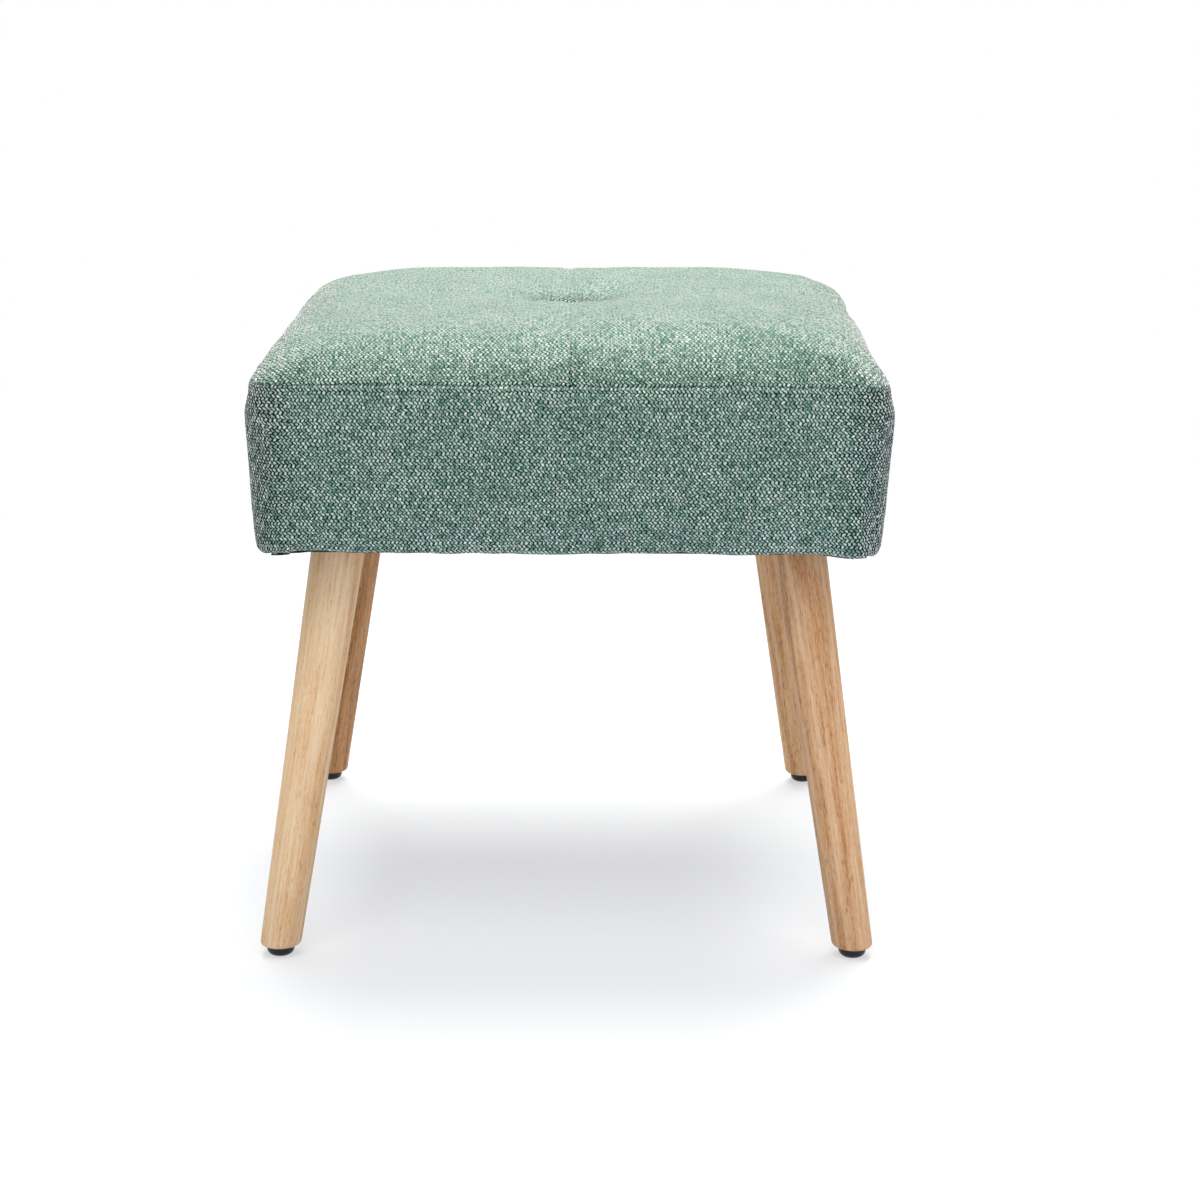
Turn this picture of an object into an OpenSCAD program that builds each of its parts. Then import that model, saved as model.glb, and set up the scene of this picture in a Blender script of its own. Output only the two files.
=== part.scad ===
// Low square stool: a padded, tufted seat on four splayed, turned legs.
// Millimetres, +Z up, origin on the floor under the middle of the seat.
// The front faces -Y and +X is to the right as the front is looked at.

/* [Seat] */
// Width of the padded seat at its widest
seat_w = 400; // [380:5:440]
// Depth of the padded seat at its widest
seat_d = 400; // [380:5:440]
// Height of the seat's underside above the floor
underside_z = 268; // [220:2:340]
// Height of the side band, from the underside up to the top seam
band_h = 106; // [100:1:130]
// Rise of the cushion's crown above the top seam
crown_h = 35; // [25:0.5:45]
// Distance in from the seam over which the crown takes up most of its rise
shoulder_run = 15.5; // [12:0.5:30]
// Share of the crown that is lost towards the four corners
corner_droop = 0.1; // [0:0.05:0.4]
// Radius of the seat's upright corners
corner_r = 20; // [14:1:30]
// Radius by which the corners grow towards the middle, over the whole crown
corner_growth = 220; // [100:10:500]

/* [Side band] */
// How far the top seam lies inside the widest line
seam_inset = 2.5; // [1:0.5:4]
// How far the widest line lies below the top seam
bulge_drop = 20; // [12:1:30]
// How far the band draws in towards the underside
draw_in = 4; // [2:0.5:8]
// Radius of the seat's bottom edge
edge_r = 4; // [3:0.5:6]
// Thickness of the upholstery cloth
cloth_t = 2; // [1.2:0.1:2.4]

/* [Tuft and seams] */
// Depth of the tuft in the middle of the seat
tuft_dip = 12; // [4:1:18]
// Spread of the tuft's hollow
tuft_spread = 21; // [14:1:30]
// Depth of the valley along each seam between the top panels
seam_dip = 1.2; // [0.6:0.2:5]
// Spread of that valley
seam_spread = 10; // [6:1:16]
// Diameter of the twine that pulls the tuft down
twine_d = 2; // [1.6:0.1:2.4]
// Diameter of the anchor under the deck that the twine is tied to
anchor_d = 26; // [18:1:36]
// Thickness of that anchor
anchor_t = 4; // [3:0.5:6]
// How much wider than the twine's hole its knots are, in radius
knot_swell = 1; // [0.8:0.1:1.5]

/* [Wooden frame] */
// Thickness of the foam strips around the frame, at the bottom
side_foam_t = 10; // [8:1:14]
// Thickness of the rails
rail_t = 15; // [12:1:18]
// Height of the rails
rail_h = 60; // [55:1:64]
// Thickness of the deck board
deck_t = 9; // [6:1:12]
// Width of the corner blocks
block_w = 60; // [56:1:66]
// Height of the corner blocks
block_h = 46; // [40:1:50]
// Cut across the inner corner of the corner blocks
block_cut = 15; // [8:1:20]

/* [Legs] */
// Distance of a leg's middle from the seat's widest line, at the underside
leg_inset = 54; // [52:1:56]
// Splay of the legs, as seen from the front and as seen from the side
leg_splay = 8.5; // [4:0.5:10]
// Diameter of a leg at its top
leg_top_d = 34; // [30:1:36]
// Diameter of a leg at its foot
leg_foot_d = 26; // [24:1:30]
// Width of the chamfer around the foot's cut face
foot_chamfer = 2; // [0.5:0.1:3]
// Height of that chamfer
foot_chamfer_h = 3; // [1:0.5:4]

/* [Glides] */
// Diameter of the plastic glides
glide_d = 18; // [15:1:20]
// Height of the plastic glides
glide_h = 7; // [4:0.5:9]
// Radius of the glides' lower edge
glide_edge_r = 3; // [1.5:0.5:4]
// Depth of the recess for the nail's head
glide_sink = 1.5; // [1:0.1:2]
// Diameter of the glides' nails
nail_d = 2; // [1.6:0.1:2.4]
// Length of nail in the leg
nail_grip = 14; // [10:1:18]
// Diameter of the nails' heads
nail_head_d = 6; // [5:0.5:7]
// Thickness of the nails' heads
nail_head_t = 0.9; // [0.6:0.1:1]

/* [Leg plates] */
// Width of the steel leg plates
plate_w = 54; // [52:1:56]
// Corner radius of the leg plates
plate_r = 6; // [3:1:10]
// Diameter of the slanted boss in each plate
boss_d = 34; // [32:1:36]
// Length of the boss along the leg's axis, from the plate's top face
boss_drop = 8; // [8:0.5:12]
// Sheet thickness of the boss
boss_wall = 2; // [1.5:0.5:2.5]
// Diameter of the threaded collar in the boss
collar_d = 14; // [12:1:16]
// Length of the threaded collar
collar_h = 5; // [4:0.5:5]
// Distance of a plate's screws from its middle, along each side
plate_screw_at = 19; // [18.5:0.5:20]

/* [Fasteners] */
// Thread diameter of the hanger bolts
bolt_d = 8; // [6:1:8]
// Length of hanger bolt in the leg
bolt_grip = 40; // [30:1:50]
// Length of hanger bolt that stands above the plate
bolt_stand = 4; // [2:1:6]
// Shank diameter of the frame screws
screw_d = 4; // [3.5:0.1:4.5]
// Diameter of the countersunk heads
screw_head_d = 7.6; // [7:0.1:8.5]
// Length of the screws in the rail corners and corner blocks
rail_screw_l = 38; // [32:1:45]
// Length of the deck screws
deck_screw_l = 30; // [25:1:35]
// Length of the leg plate screws
plate_screw_l = 18; // [14:1:22]
// Spacing of the staples along each side
staple_pitch = 36; // [30:1:60]
// Width of a staple's crown
staple_w = 10; // [8:1:12]
// Wire thickness of a staple
staple_t = 0.8; // [0.6:0.1:1]
// Length of a staple's legs
staple_l = 8; // [6:1:10]
// Distance of the staples from the edge of the turned-in cloth
staple_edge = 3; // [2:0.5:4]
// Thickness of the dust cover
dust_t = 0.8; // [0.6:0.1:1]
// Distance of the dust cover from the turn of the seat's bottom edge
dust_margin = 6; // [3:1:10]

/* [Clearances] */
// Gap between the cloth and the foam under it
soft_gap = 0.3; // [0.2:0.1:0.5]
// Radial gap of a fastener in its hole
fit_gap = 0.1; // [0.05:0.05:0.2]
// Gap around each boss in the dust cover
boss_gap = 1.5; // [1:0.5:3]
// Gap between the leg plates and the turned-in cloth
plate_gap = 1; // [0.5:0.5:2]
// Gap between the twine and the wood, cloth and foam that it goes through
twine_gap = 0.5; // [0.3:0.1:0.8]
// Gap between a nail's head and the wall of its recess
head_gap = 0.4; // [0.2:0.1:0.6]
// Gap left in a blind hole past the end of its fastener
end_gap = 1; // [0.5:0.5:2]

/* [Hidden] */

// Smoothness of round parts
$fn = 48;

// Steps along a quarter of the seat's outline: on each straight, and round the corner
SIDE_STEPS = 4;
ARC_STEPS = 5;
// Rings of the crown: on the shoulder inside the top seam, and from there to the tuft
SHOULDER_RINGS = 8;
TOP_RINGS = 7;
TOP_RING = SHOULDER_RINGS + TOP_RINGS;
// How strongly those inner rings close up towards the tuft
TUFT_CROWDING = 1.4;
// Rings of the side band between the top seam and its widest line
BAND_RINGS = 2;
// Heights of the screws, as shares of the height of what they are in
RAIL_SCREW_ROWS = [0.25, 0.75];
BLOCK_SCREW_ROWS = [0.52, 0.85];
// How far a cutting solid reaches past what it cuts
OVER = 1;

CLOTH = [0.45, 0.64, 0.56];
FOAM = [0.93, 0.90, 0.78];
BLACK = [0.08, 0.08, 0.09];
WOOD = [0.83, 0.69, 0.53];
PINE = [0.87, 0.77, 0.60];
PLY = [0.78, 0.66, 0.48];
STEEL = [0.72, 0.73, 0.75];

// The four corners, as signs of X and Y
CORNERS = [[-1, -1], [1, -1], [-1, 1], [1, 1]];

half_w = seat_w / 2;
half_d = seat_d / 2;
seam_z = underside_z + band_h;
bulge_z = seam_z - bulge_drop;
frame_z = underside_z + cloth_t;
// The leg plates are as thick as the turned-in cloth, so that the dust cover lies flat
plate_t = frame_z - underside_z;
frame_inset = draw_in + cloth_t + soft_gap + side_foam_t;
frame_hx = half_w - frame_inset;
frame_hy = half_d - frame_inset;
rail_top_z = frame_z + rail_h;
deck_z = rail_top_z + deck_t;
foam_skin = cloth_t + soft_gap;
side_foam_z = underside_z + edge_r;
// Width of cloth that is turned in under the seat, from the widest line
turn_in = leg_inset - plate_w / 2 - plate_gap;
// Radius of the hole that the four panels leave for the twine
tip_r = twine_d / 2 + twine_gap;

// A leg's axis goes through this point, on the underside of the frame
leg_x = half_w - leg_inset;
leg_y = half_d - leg_inset;
leg_tilt = atan(sqrt(2) * tan(leg_splay));
foot_x = leg_x + (frame_z - glide_h) * tan(leg_splay);
foot_y = leg_y + (frame_z - glide_h) * tan(leg_splay);
foot_run = (frame_z - glide_h) / cos(leg_tilt);

// Outline of the seat

// First quarter of a rounded rectangle, from the X axis round to the Y axis
function quarter(hx, hy, r) = concat(
  [for (i = [0:SIDE_STEPS - 1]) [hx, (hy - r) * pow(i / SIDE_STEPS, 2)]],
  [for (i = [0:ARC_STEPS]) [hx - r, hy - r] + r * [cos(90 * i / ARC_STEPS), sin(90 * i / ARC_STEPS)]],
  [for (i = [SIDE_STEPS - 1:-1:0]) [(hx - r) * pow(i / SIDE_STEPS, 2), hy]]
);

// Whole rounded rectangle, anticlockwise from the X axis
function outline(hx, hy, r) =
  let (q = quarter(hx, hy, r), n = len(q) - 1)
  concat(
    [for (i = [0:n - 1]) q[i]],
    [for (i = [n:-1:1]) [-q[i].x, q[i].y]],
    [for (i = [0:n - 1]) -q[i]],
    [for (i = [n:-1:1]) [q[i].x, -q[i].y]]
  );

// Quarter outline that lies a distance outside (or, if negative, inside) the widest line
function band_outline(out) =
  outline(half_w + out, half_d + out, max(corner_r + out, 2));

function at_height(points, z) = [for (p = points) [p.x, p.y, z]];

// Crown of the cushion

// A ring is a share of the way from the tuft out to the top seam. The shoulder's rings
// climb the crown in equal steps, and the rings inside them close up towards the tuft.
seam_half = min(half_w, half_d) - seam_inset;

function ring_share(i) =
  i <= SHOULDER_RINGS
    ? 1 + ln(1 - i / (SHOULDER_RINGS + 1)) * shoulder_run / seam_half
    : ring_share(SHOULDER_RINGS) * pow(1 - (i - SHOULDER_RINGS) / TOP_RINGS, TUFT_CROWDING);

function crown_share(f) = 1 - exp((f - 1) * seam_half / shoulder_run);

function hollow(d, spread) = exp(-pow(d / spread, 2));

// Height of the cushion's surface at a point on the ring of share f
function top_z(x, y, f) =
  let (s = crown_share(f))
  seam_z
  + crown_h * s * (1 - corner_droop * pow(x * y / (half_w * half_d), 2))
  - seam_dip * s * (hollow(x, seam_spread) + hollow(y, seam_spread))
  - tuft_dip * hollow(norm([x, y]), tuft_spread);

// Half sizes of a ring whose skin lies a depth under the surface
function ring_half(half, f, depth) =
  max((half - seam_inset - depth) * f, tip_r);

// Corner radius of a ring: the seat's own at the seam, and nearly round at the tuft
function ring_r(f, depth) =
  min(
    corner_r - seam_inset - depth + corner_growth * (1 - f),
    0.95 * ring_half(min(half_w, half_d), f, depth)
  );

// Points of one ring on the first quarter, or all round
function crown_ring(i, depth, whole) =
  let (
    f = ring_share(i),
    hx = ring_half(half_w, f, depth),
    hy = ring_half(half_d, f, depth),
    r = ring_r(f, depth),
    flat = whole ? outline(hx, hy, r) : quarter(hx, hy, r)
  )
  [for (p = flat) [p.x, p.y, top_z(p.x, p.y, f) - depth]];

// Profile of the side band, from the top seam down and in under the seat, as
// distances outside the widest line and heights: round from the seam out to the
// widest line, straight down to the bottom edge, round it and in
band_profile = concat(
  [for (i = [0:BAND_RINGS])
    let (t = i / BAND_RINGS)
    [-seam_inset * pow(1 - t, 2), seam_z - bulge_drop * t]
  ],
  [for (a = [0:30:90]) [
    -draw_in - edge_r * (1 - cos(a)),
    underside_z + edge_r * (1 - sin(a))
  ]],
  [[-turn_in, underside_z]]
);

// Distance outside the widest line of the band's surface at a height above the edge
function band_out(z) =
  lookup(z, [for (i = [BAND_RINGS + 1:-1:0]) [band_profile[i].y, band_profile[i].x]]);

// The profile moved in by the cloth's thickness, mitred at the top seam
function inner_profile(i) =
  let (
    p = band_profile,
    last = len(p) - 1,
    d = p[min(i + 1, last)] - p[max(i - 1, 0)],
    u = d / norm(d)
  )
  i == 0 ? p[0] - [cloth_t, cloth_t] : p[i] + cloth_t * [u.y, -u.x];

// Solids made from points

// Closed solid between an outer and an inner skin. Both are lists of rows, and the
// rows join up into a loop when closed is true.
module thick_sheet(outer, inner, closed) {
  rows = len(outer);
  cols = len(outer[0]);
  steps = closed ? rows : rows - 1;
  function o(j, k) = (j % rows) * cols + k;
  function n(j, k) = rows * cols + o(j, k);
  function quad(a, b, c, d) = [[a, b, c], [a, c, d]];
  skins = [for (j = [0:steps - 1], k = [0:cols - 2]) each concat(
    quad(o(j, k), o(j + 1, k), o(j + 1, k + 1), o(j, k + 1)),
    quad(n(j, k), n(j, k + 1), n(j + 1, k + 1), n(j + 1, k))
  )];
  rims = [for (j = [0:steps - 1]) each concat(
    quad(o(j, cols - 1), o(j + 1, cols - 1), n(j + 1, cols - 1), n(j, cols - 1)),
    quad(o(j, 0), n(j, 0), n(j + 1, 0), o(j + 1, 0))
  )];
  ends = closed ? [] : [for (k = [0:cols - 2]) each concat(
    quad(o(0, k), o(0, k + 1), n(0, k + 1), n(0, k)),
    quad(o(rows - 1, k), n(rows - 1, k), n(rows - 1, k + 1), o(rows - 1, k + 1))
  )];
  polyhedron(
    points = concat([for (row = outer) each row], [for (row = inner) each row]),
    faces = concat(skins, rims, ends)
  );
}

// Closed solid through a stack of rings, lowest first, each anticlockwise from above.
// A point in the middle of the first ring and one of the last close the ends.
module stack(rings) {
  n = len(rings[0]);
  last = len(rings) - 1;
  count = (last + 1) * n;
  walls = [for (j = [0:last - 1], i = [0:n - 1])
    let (a = j * n + i, b = j * n + (i + 1) % n)
    each [[a, a + n, b + n], [a, b + n, b]]
  ];
  ends = [for (i = [0:n - 1])
    let (next = (i + 1) % n)
    each [[count, i, next], [count + 1, last * n + next, last * n + i]]
  ];
  polyhedron(
    points = concat([for (ring = rings) each ring], [[0, 0, rings[0][0].z], [0, 0, rings[last][0].z]]),
    faces = concat(walls, ends)
  );
}

function flip(rows) = [for (k = [0:len(rows[0]) - 1]) [for (row = rows) row[k]]];

// Puts what was made for the back right corner at another corner
module at_corner(corner) {
  mirror([corner.x < 0 ? 1 : 0, 0, 0])
    mirror([0, corner.y < 0 ? 1 : 0, 0])
      children();
}

// Upholstery

// One quarter of the top, sewn to its neighbours along the middle lines
module top_panel(corner) {
  outer = flip([for (i = [TOP_RING:-1:0]) crown_ring(i, 0, false)]);
  inner = flip([for (i = [TOP_RING:-1:0]) crown_ring(i, cloth_t, false)]);
  color(CLOTH) at_corner(corner) thick_sheet(outer, inner, false);
}

// Strip of cloth round the sides, turned in under the seat
module side_band() {
  outer = flip([for (p = band_profile) at_height(band_outline(p.x), p.y)]);
  inner = flip([
    for (i = [0:len(band_profile) - 1])
      let (p = inner_profile(i))
      at_height(band_outline(p.x), p.y)
  ]);
  color(CLOTH) thick_sheet(outer, inner, true);
}

// Black non-woven cloth that closes the underside, with a hole at each boss
module dust_cover() {
  reach = draw_in + edge_r + dust_margin;
  color(BLACK) difference() {
    translate([reach - half_w, reach - half_d, underside_z - dust_t])
      cube([seat_w - 2 * reach, seat_d - 2 * reach, dust_t]);
    for (corner = CORNERS) at_corner(corner)
      translate([leg_x, leg_y, underside_z - dust_t - OVER])
        cylinder(h = dust_t + 2 * OVER, d = boss_d / cos(leg_tilt) + 2 * boss_gap);
    place_staples() staple_legs(fit_gap);
  }
}

// Legs of one staple, up into a rail that runs along X. grow widens them into holes.
module staple_legs(grow = 0) {
  for (side = [-1, 1])
    translate([side * (staple_w - staple_t) / 2, 0, -dust_t - staple_t])
      linear_extrude(staple_t + dust_t + cloth_t + staple_l + grow)
        square(staple_t + 2 * grow, center = true);
}

module staple() {
  translate([-staple_w / 2, -staple_t / 2, -dust_t - staple_t])
    cube([staple_w, staple_t, staple_t]);
  staple_legs();
}

// A row along each rail, on the line of the turned-in cloth's edge
module place_staples() {
  line = turn_in - staple_edge;
  runs = [[frame_hx, half_d - line, 0], [frame_hy, half_w - line, 90]];
  for (run = runs, side = [-1, 1]) {
    count = 2 * floor((run[0] - rail_t - staple_w) / staple_pitch) + 1;
    for (i = [0:count - 1]) rotate([0, 0, run[2]])
      translate([(i - (count - 1) / 2) * staple_pitch, side * run[1], underside_z])
        children();
  }
}

module staples() { color(STEEL) place_staples() staple(); }

// Padding

// Foam pad on the deck: drawn-in sides up to the seam, then the crown and its tuft
module foam_pad() {
  heights = [deck_z, for (i = [BAND_RINGS:-1:1]) if (band_profile[i].y > deck_z) band_profile[i].y];
  sides = [for (z = heights) at_height(band_outline(band_out(z) - foam_skin), z)];
  crown = [for (i = [0:TOP_RING]) crown_ring(i, foam_skin, true)];
  color(FOAM) difference() {
    stack(concat(sides, crown));
    translate([0, 0, deck_z - OVER]) cylinder(h = crown_h + band_h, r = tip_r);
  }
}

// Foam strip beside one rail. The four strips are mitred at the corners.
module side_foam(a, b) {
  out = 2 * frame_inset;
  away = [sign(a.x + b.x), sign(a.y + b.y)];
  along = [for (p = [a, b]) [sign(p.x), sign(p.y)] * out];
  heights = [side_foam_z, deck_z];
  color(FOAM) intersection() {
    stack([for (z = heights) at_height(band_outline(band_out(z) - foam_skin), z)]);
    translate([0, 0, side_foam_z - OVER])
      linear_extrude(deck_z - side_foam_z + 2 * OVER)
        polygon([a, b, b + along[1], a + along[0]]);
  }
}

module side_foam_front() { side_foam([-frame_hx, -frame_hy], [frame_hx, -frame_hy]); }
module side_foam_back() { side_foam([-frame_hx, frame_hy], [frame_hx, frame_hy]); }
module side_foam_left() { side_foam([-frame_hx, -frame_hy], [-frame_hx, frame_hy]); }
module side_foam_right() { side_foam([frame_hx, -frame_hy], [frame_hx, frame_hy]); }

// Tuft

tuft_z = top_z(tip_r, 0, ring_share(TOP_RING));
anchor_z = rail_top_z - anchor_t;
knot_r = tip_r + knot_swell;
knot_rise = sqrt(pow(knot_r + fit_gap, 2) - pow(tip_r, 2));

// Waxed twine from the knot in the tuft down to the knot under the anchor
module tuft_twine() {
  low = anchor_z - knot_rise;
  color(CLOTH) {
    translate([0, 0, low]) cylinder(h = tuft_z + knot_rise - low, d = twine_d);
    for (z = [low, tuft_z + knot_rise]) translate([0, 0, z]) sphere(r = knot_r);
  }
}

// Plastic disc under the deck that holds the twine
module tuft_anchor() {
  color(BLACK) translate([0, 0, anchor_z]) rotate_extrude() polygon([
    [tip_r, 0],
    [anchor_d / 2 - anchor_t / 2, 0],
    [anchor_d / 2, anchor_t / 2],
    [anchor_d / 2, anchor_t],
    [tip_r, anchor_t]
  ]);
}

// Screws

// Countersunk wood screw, head up and flush with z = 0. grow widens it into a hole.
module screw(length, grow = 0) {
  head_r = screw_head_d / 2;
  rotate_extrude($fn = 24) polygon([
    [0, grow],
    [head_r + grow, grow],
    [head_r + grow, 0],
    [screw_d / 2 + grow, screw_d / 2 - head_r],
    [screw_d / 2 + grow, screw_d - length],
    [0, -length - grow]
  ]);
}

// Screws through the front and back rails into the ends of the side rails
module place_rail_screws(grow = 0) {
  for (corner = CORNERS, share = RAIL_SCREW_ROWS) at_corner(corner)
    translate([frame_hx - rail_t / 2, frame_hy, frame_z + rail_h * share])
      rotate([-90, 0, 0]) screw(rail_screw_l, grow);
}

// Screws through the side rails into the corner blocks
module place_block_screws(grow = 0) {
  for (corner = CORNERS, share = BLOCK_SCREW_ROWS) at_corner(corner)
    translate([frame_hx, frame_hy - rail_t - block_w / 2, frame_z + block_h * share])
      rotate([0, 90, 0]) screw(rail_screw_l, grow);
}

// Screws through the deck into the top edges of the rails
module place_deck_screws(grow = 0) {
  for (sx = [-1, 1], sy = [-1, 1]) {
    translate([sx * frame_hx / 2, sy * (frame_hy - rail_t / 2), deck_z])
      screw(deck_screw_l, grow);
    translate([sx * (frame_hx - rail_t / 2), sy * frame_hy / 2, deck_z])
      screw(deck_screw_l, grow);
  }
}

// Screws through the leg plates up into the corner blocks
module place_plate_screws(grow = 0) {
  for (corner = CORNERS, sx = [-1, 1], sy = [-1, 1]) at_corner(corner)
    translate([leg_x + sx * plate_screw_at, leg_y + sy * plate_screw_at, underside_z])
      rotate([180, 0, 0]) screw(plate_screw_l, grow);
}

module rail_screws() { color(STEEL) place_rail_screws(); }
module block_screws() { color(STEEL) place_block_screws(); }
module deck_screws() { color(STEEL) place_deck_screws(); }
module plate_screws() { color(STEEL) place_plate_screws(); }

// Wooden frame

module frame_holes() {
  place_rail_screws(fit_gap);
  place_block_screws(fit_gap);
  place_deck_screws(fit_gap);
  place_plate_screws(fit_gap);
  place_staples() staple_legs(fit_gap);
}

// Rail across the seat, at the front (side -1) or the back (side 1)
module cross_rail(side) {
  y = side > 0 ? frame_hy - rail_t : -frame_hy;
  color(PINE) difference() {
    translate([-frame_hx, y, frame_z]) cube([2 * frame_hx, rail_t, rail_h]);
    frame_holes();
  }
}

// Rail between the cross rails, at the left (side -1) or the right (side 1)
module side_rail(side) {
  x = side > 0 ? frame_hx - rail_t : -frame_hx;
  color(PINE) difference() {
    translate([x, rail_t - frame_hy, frame_z]) cube([rail_t, 2 * (frame_hy - rail_t), rail_h]);
    frame_holes();
  }
}

module rail_front() { cross_rail(-1); }
module rail_back() { cross_rail(1); }
module rail_left() { side_rail(-1); }
module rail_right() { side_rail(1); }

module deck_board() {
  color(PLY) difference() {
    translate([-frame_hx, -frame_hy, rail_top_z]) cube([2 * frame_hx, 2 * frame_hy, deck_t]);
    place_deck_screws(fit_gap);
    translate([0, 0, rail_top_z - OVER]) cylinder(h = deck_t + 2 * OVER, r = tip_r);
  }
}

// Block that carries a leg plate, with its inner corner cut off
module corner_block(corner) {
  color(PINE) difference() {
    at_corner(corner) translate([frame_hx - rail_t, frame_hy - rail_t, frame_z])
      linear_extrude(block_h) polygon([
        [0, 0],
        [-block_w, 0],
        [-block_w, block_cut - block_w],
        [block_cut - block_w, -block_w],
        [0, -block_w]
      ]);
    place_block_screws(fit_gap);
    place_plate_screws(fit_gap);
    at_corner(corner) leg_axis() translate([0, 0, -OVER])
      cylinder(h = OVER + bolt_stand + end_gap, d = bolt_d + 2 * end_gap);
  }
}

// Legs and what holds them

// Frame of the back right leg: z = 0 where its axis meets the frame, z down the leg < 0
module leg_axis() {
  translate([leg_x, leg_y, frame_z]) rotate([0, 0, 45]) rotate([0, -leg_tilt, 0]) children();
}

// Pressed steel plate with a slanted, threaded boss that sets the splay of its leg
module leg_plate(corner) {
  color(STEEL) difference() {
    at_corner(corner) {
      difference() {
        union() {
          translate([leg_x, leg_y, underside_z]) linear_extrude(plate_t) plate_outline();
          intersection() {
            leg_axis() translate([0, 0, -boss_drop]) cylinder(h = 2 * boss_drop, d = boss_d);
            below_frame();
          }
        }
        leg_axis() translate([0, 0, boss_wall - boss_drop])
          cylinder(h = 2 * boss_drop, d = boss_d - 2 * boss_wall);
        leg_axis() translate([0, 0, -boss_drop - OVER])
          cylinder(h = boss_wall + 2 * OVER, d = bolt_d + 2 * fit_gap);
      }
      leg_axis() translate([0, 0, boss_wall - boss_drop]) difference() {
        cylinder(h = collar_h, d = collar_d, $fn = 6);
        translate([0, 0, -OVER]) cylinder(h = collar_h + 2 * OVER, d = bolt_d + 2 * fit_gap);
      }
    }
    place_plate_screws(fit_gap);
  }
}

module plate_outline() {
  flat = plate_w - 2 * plate_r;
  square([plate_w, flat], center = true);
  square([flat, plate_w], center = true);
  for (corner = CORNERS) translate(corner * flat / 2) circle(plate_r);
}

module below_frame() {
  translate([leg_x - plate_w, leg_y - plate_w, 0]) cube([2 * plate_w, 2 * plate_w, frame_z]);
}

// Double-ended bolt: machine thread in the boss, wood thread in the leg
module hanger_bolts() {
  low = -boss_drop - bolt_grip;
  chamfer = bolt_d / 12;
  color(STEEL) for (corner = CORNERS) at_corner(corner) leg_axis()
    rotate_extrude($fn = 24) polygon([
      [0, bolt_stand],
      [bolt_d / 2 - chamfer, bolt_stand],
      [bolt_d / 2, bolt_stand - chamfer],
      [bolt_d / 2, low + bolt_d],
      [chamfer, low],
      [0, low]
    ]);
}

// Turned, tapered leg, cut level at the foot and chamfered there
module leg(corner) {
  slope = (leg_top_d - leg_foot_d) / 2 / (foot_run - boss_drop);
  spare = leg_foot_d / 2;
  trim_r = leg_foot_d / 2 - foot_chamfer;
  color(WOOD) at_corner(corner) difference() {
    intersection() {
      leg_axis() translate([0, 0, -foot_run - spare]) cylinder(
        h = foot_run + spare - boss_drop,
        r1 = leg_foot_d / 2 - slope * spare,
        r2 = leg_top_d / 2
      );
      translate([foot_x, foot_y, glide_h]) cylinder(
        h = frame_z,
        r1 = trim_r,
        r2 = trim_r + frame_z * foot_chamfer / foot_chamfer_h
      );
    }
    leg_axis() translate([0, 0, -boss_drop - bolt_grip - end_gap])
      cylinder(h = bolt_grip + end_gap + OVER, d = bolt_d + 2 * fit_gap);
    translate([foot_x, foot_y, glide_h - OVER])
      cylinder(h = OVER + nail_grip + end_gap, d = nail_d + 2 * fit_gap);
  }
}

// Plastic glide with a rounded edge and a sunk middle for its nail
module glide(corner) {
  r = glide_d / 2;
  bore_r = nail_d / 2 + fit_gap;
  recess_r = nail_head_d / 2 + head_gap;
  color(BLACK) at_corner(corner) translate([foot_x, foot_y, 0]) rotate_extrude() polygon(concat(
    [[bore_r, glide_h], [bore_r, glide_sink], [recess_r, glide_sink], [recess_r, 0]],
    [for (a = [-90:15:0])
      [r - glide_edge_r + glide_edge_r * cos(a), glide_edge_r + glide_edge_r * sin(a)]
    ],
    [[r, glide_h]]
  ));
}

// Nails that hold the glides, head in the sunk middle
module glide_nails() {
  tip_z = glide_h - glide_sink + nail_grip;
  color(STEEL) for (corner = CORNERS) at_corner(corner) translate([foot_x, foot_y, glide_sink])
    rotate_extrude($fn = 24) polygon([
      [0, -nail_head_t],
      [nail_head_d / 2, -nail_head_t],
      [nail_head_d / 2, 0],
      [nail_d / 2, 0],
      [nail_d / 2, tip_z - nail_d],
      [0, tip_z]
    ]);
}

top_panel(CORNERS[0]);  // panel_front_left
top_panel(CORNERS[1]);  // panel_front_right
top_panel(CORNERS[2]);  // panel_back_left
top_panel(CORNERS[3]);  // panel_back_right
side_band();
dust_cover();
staples();
foam_pad();
side_foam_front();
side_foam_back();
side_foam_left();
side_foam_right();
tuft_twine();
tuft_anchor();
deck_board();
rail_front();
rail_back();
rail_left();
rail_right();
corner_block(CORNERS[0]);  // corner_block_front_left
corner_block(CORNERS[1]);  // corner_block_front_right
corner_block(CORNERS[2]);  // corner_block_back_left
corner_block(CORNERS[3]);  // corner_block_back_right
rail_screws();
block_screws();
deck_screws();
leg_plate(CORNERS[0]);  // leg_plate_front_left
leg_plate(CORNERS[1]);  // leg_plate_front_right
leg_plate(CORNERS[2]);  // leg_plate_back_left
leg_plate(CORNERS[3]);  // leg_plate_back_right
plate_screws();
leg(CORNERS[0]);  // leg_front_left
leg(CORNERS[1]);  // leg_front_right
leg(CORNERS[2]);  // leg_back_left
leg(CORNERS[3]);  // leg_back_right
hanger_bolts();
glide(CORNERS[0]);  // glide_front_left
glide(CORNERS[1]);  // glide_front_right
glide(CORNERS[2]);  // glide_back_left
glide(CORNERS[3]);  // glide_back_right
glide_nails();
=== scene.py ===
"""Low, square, tufted stool, dressed for rendering on its packed construction model."""

import logging
import math
from dataclasses import dataclass, field
from enum import Enum

import bpy
import numpy as np
from mathutils import Matrix, Vector
from mathutils.geometry import delaunay_2d_cdt


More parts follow.
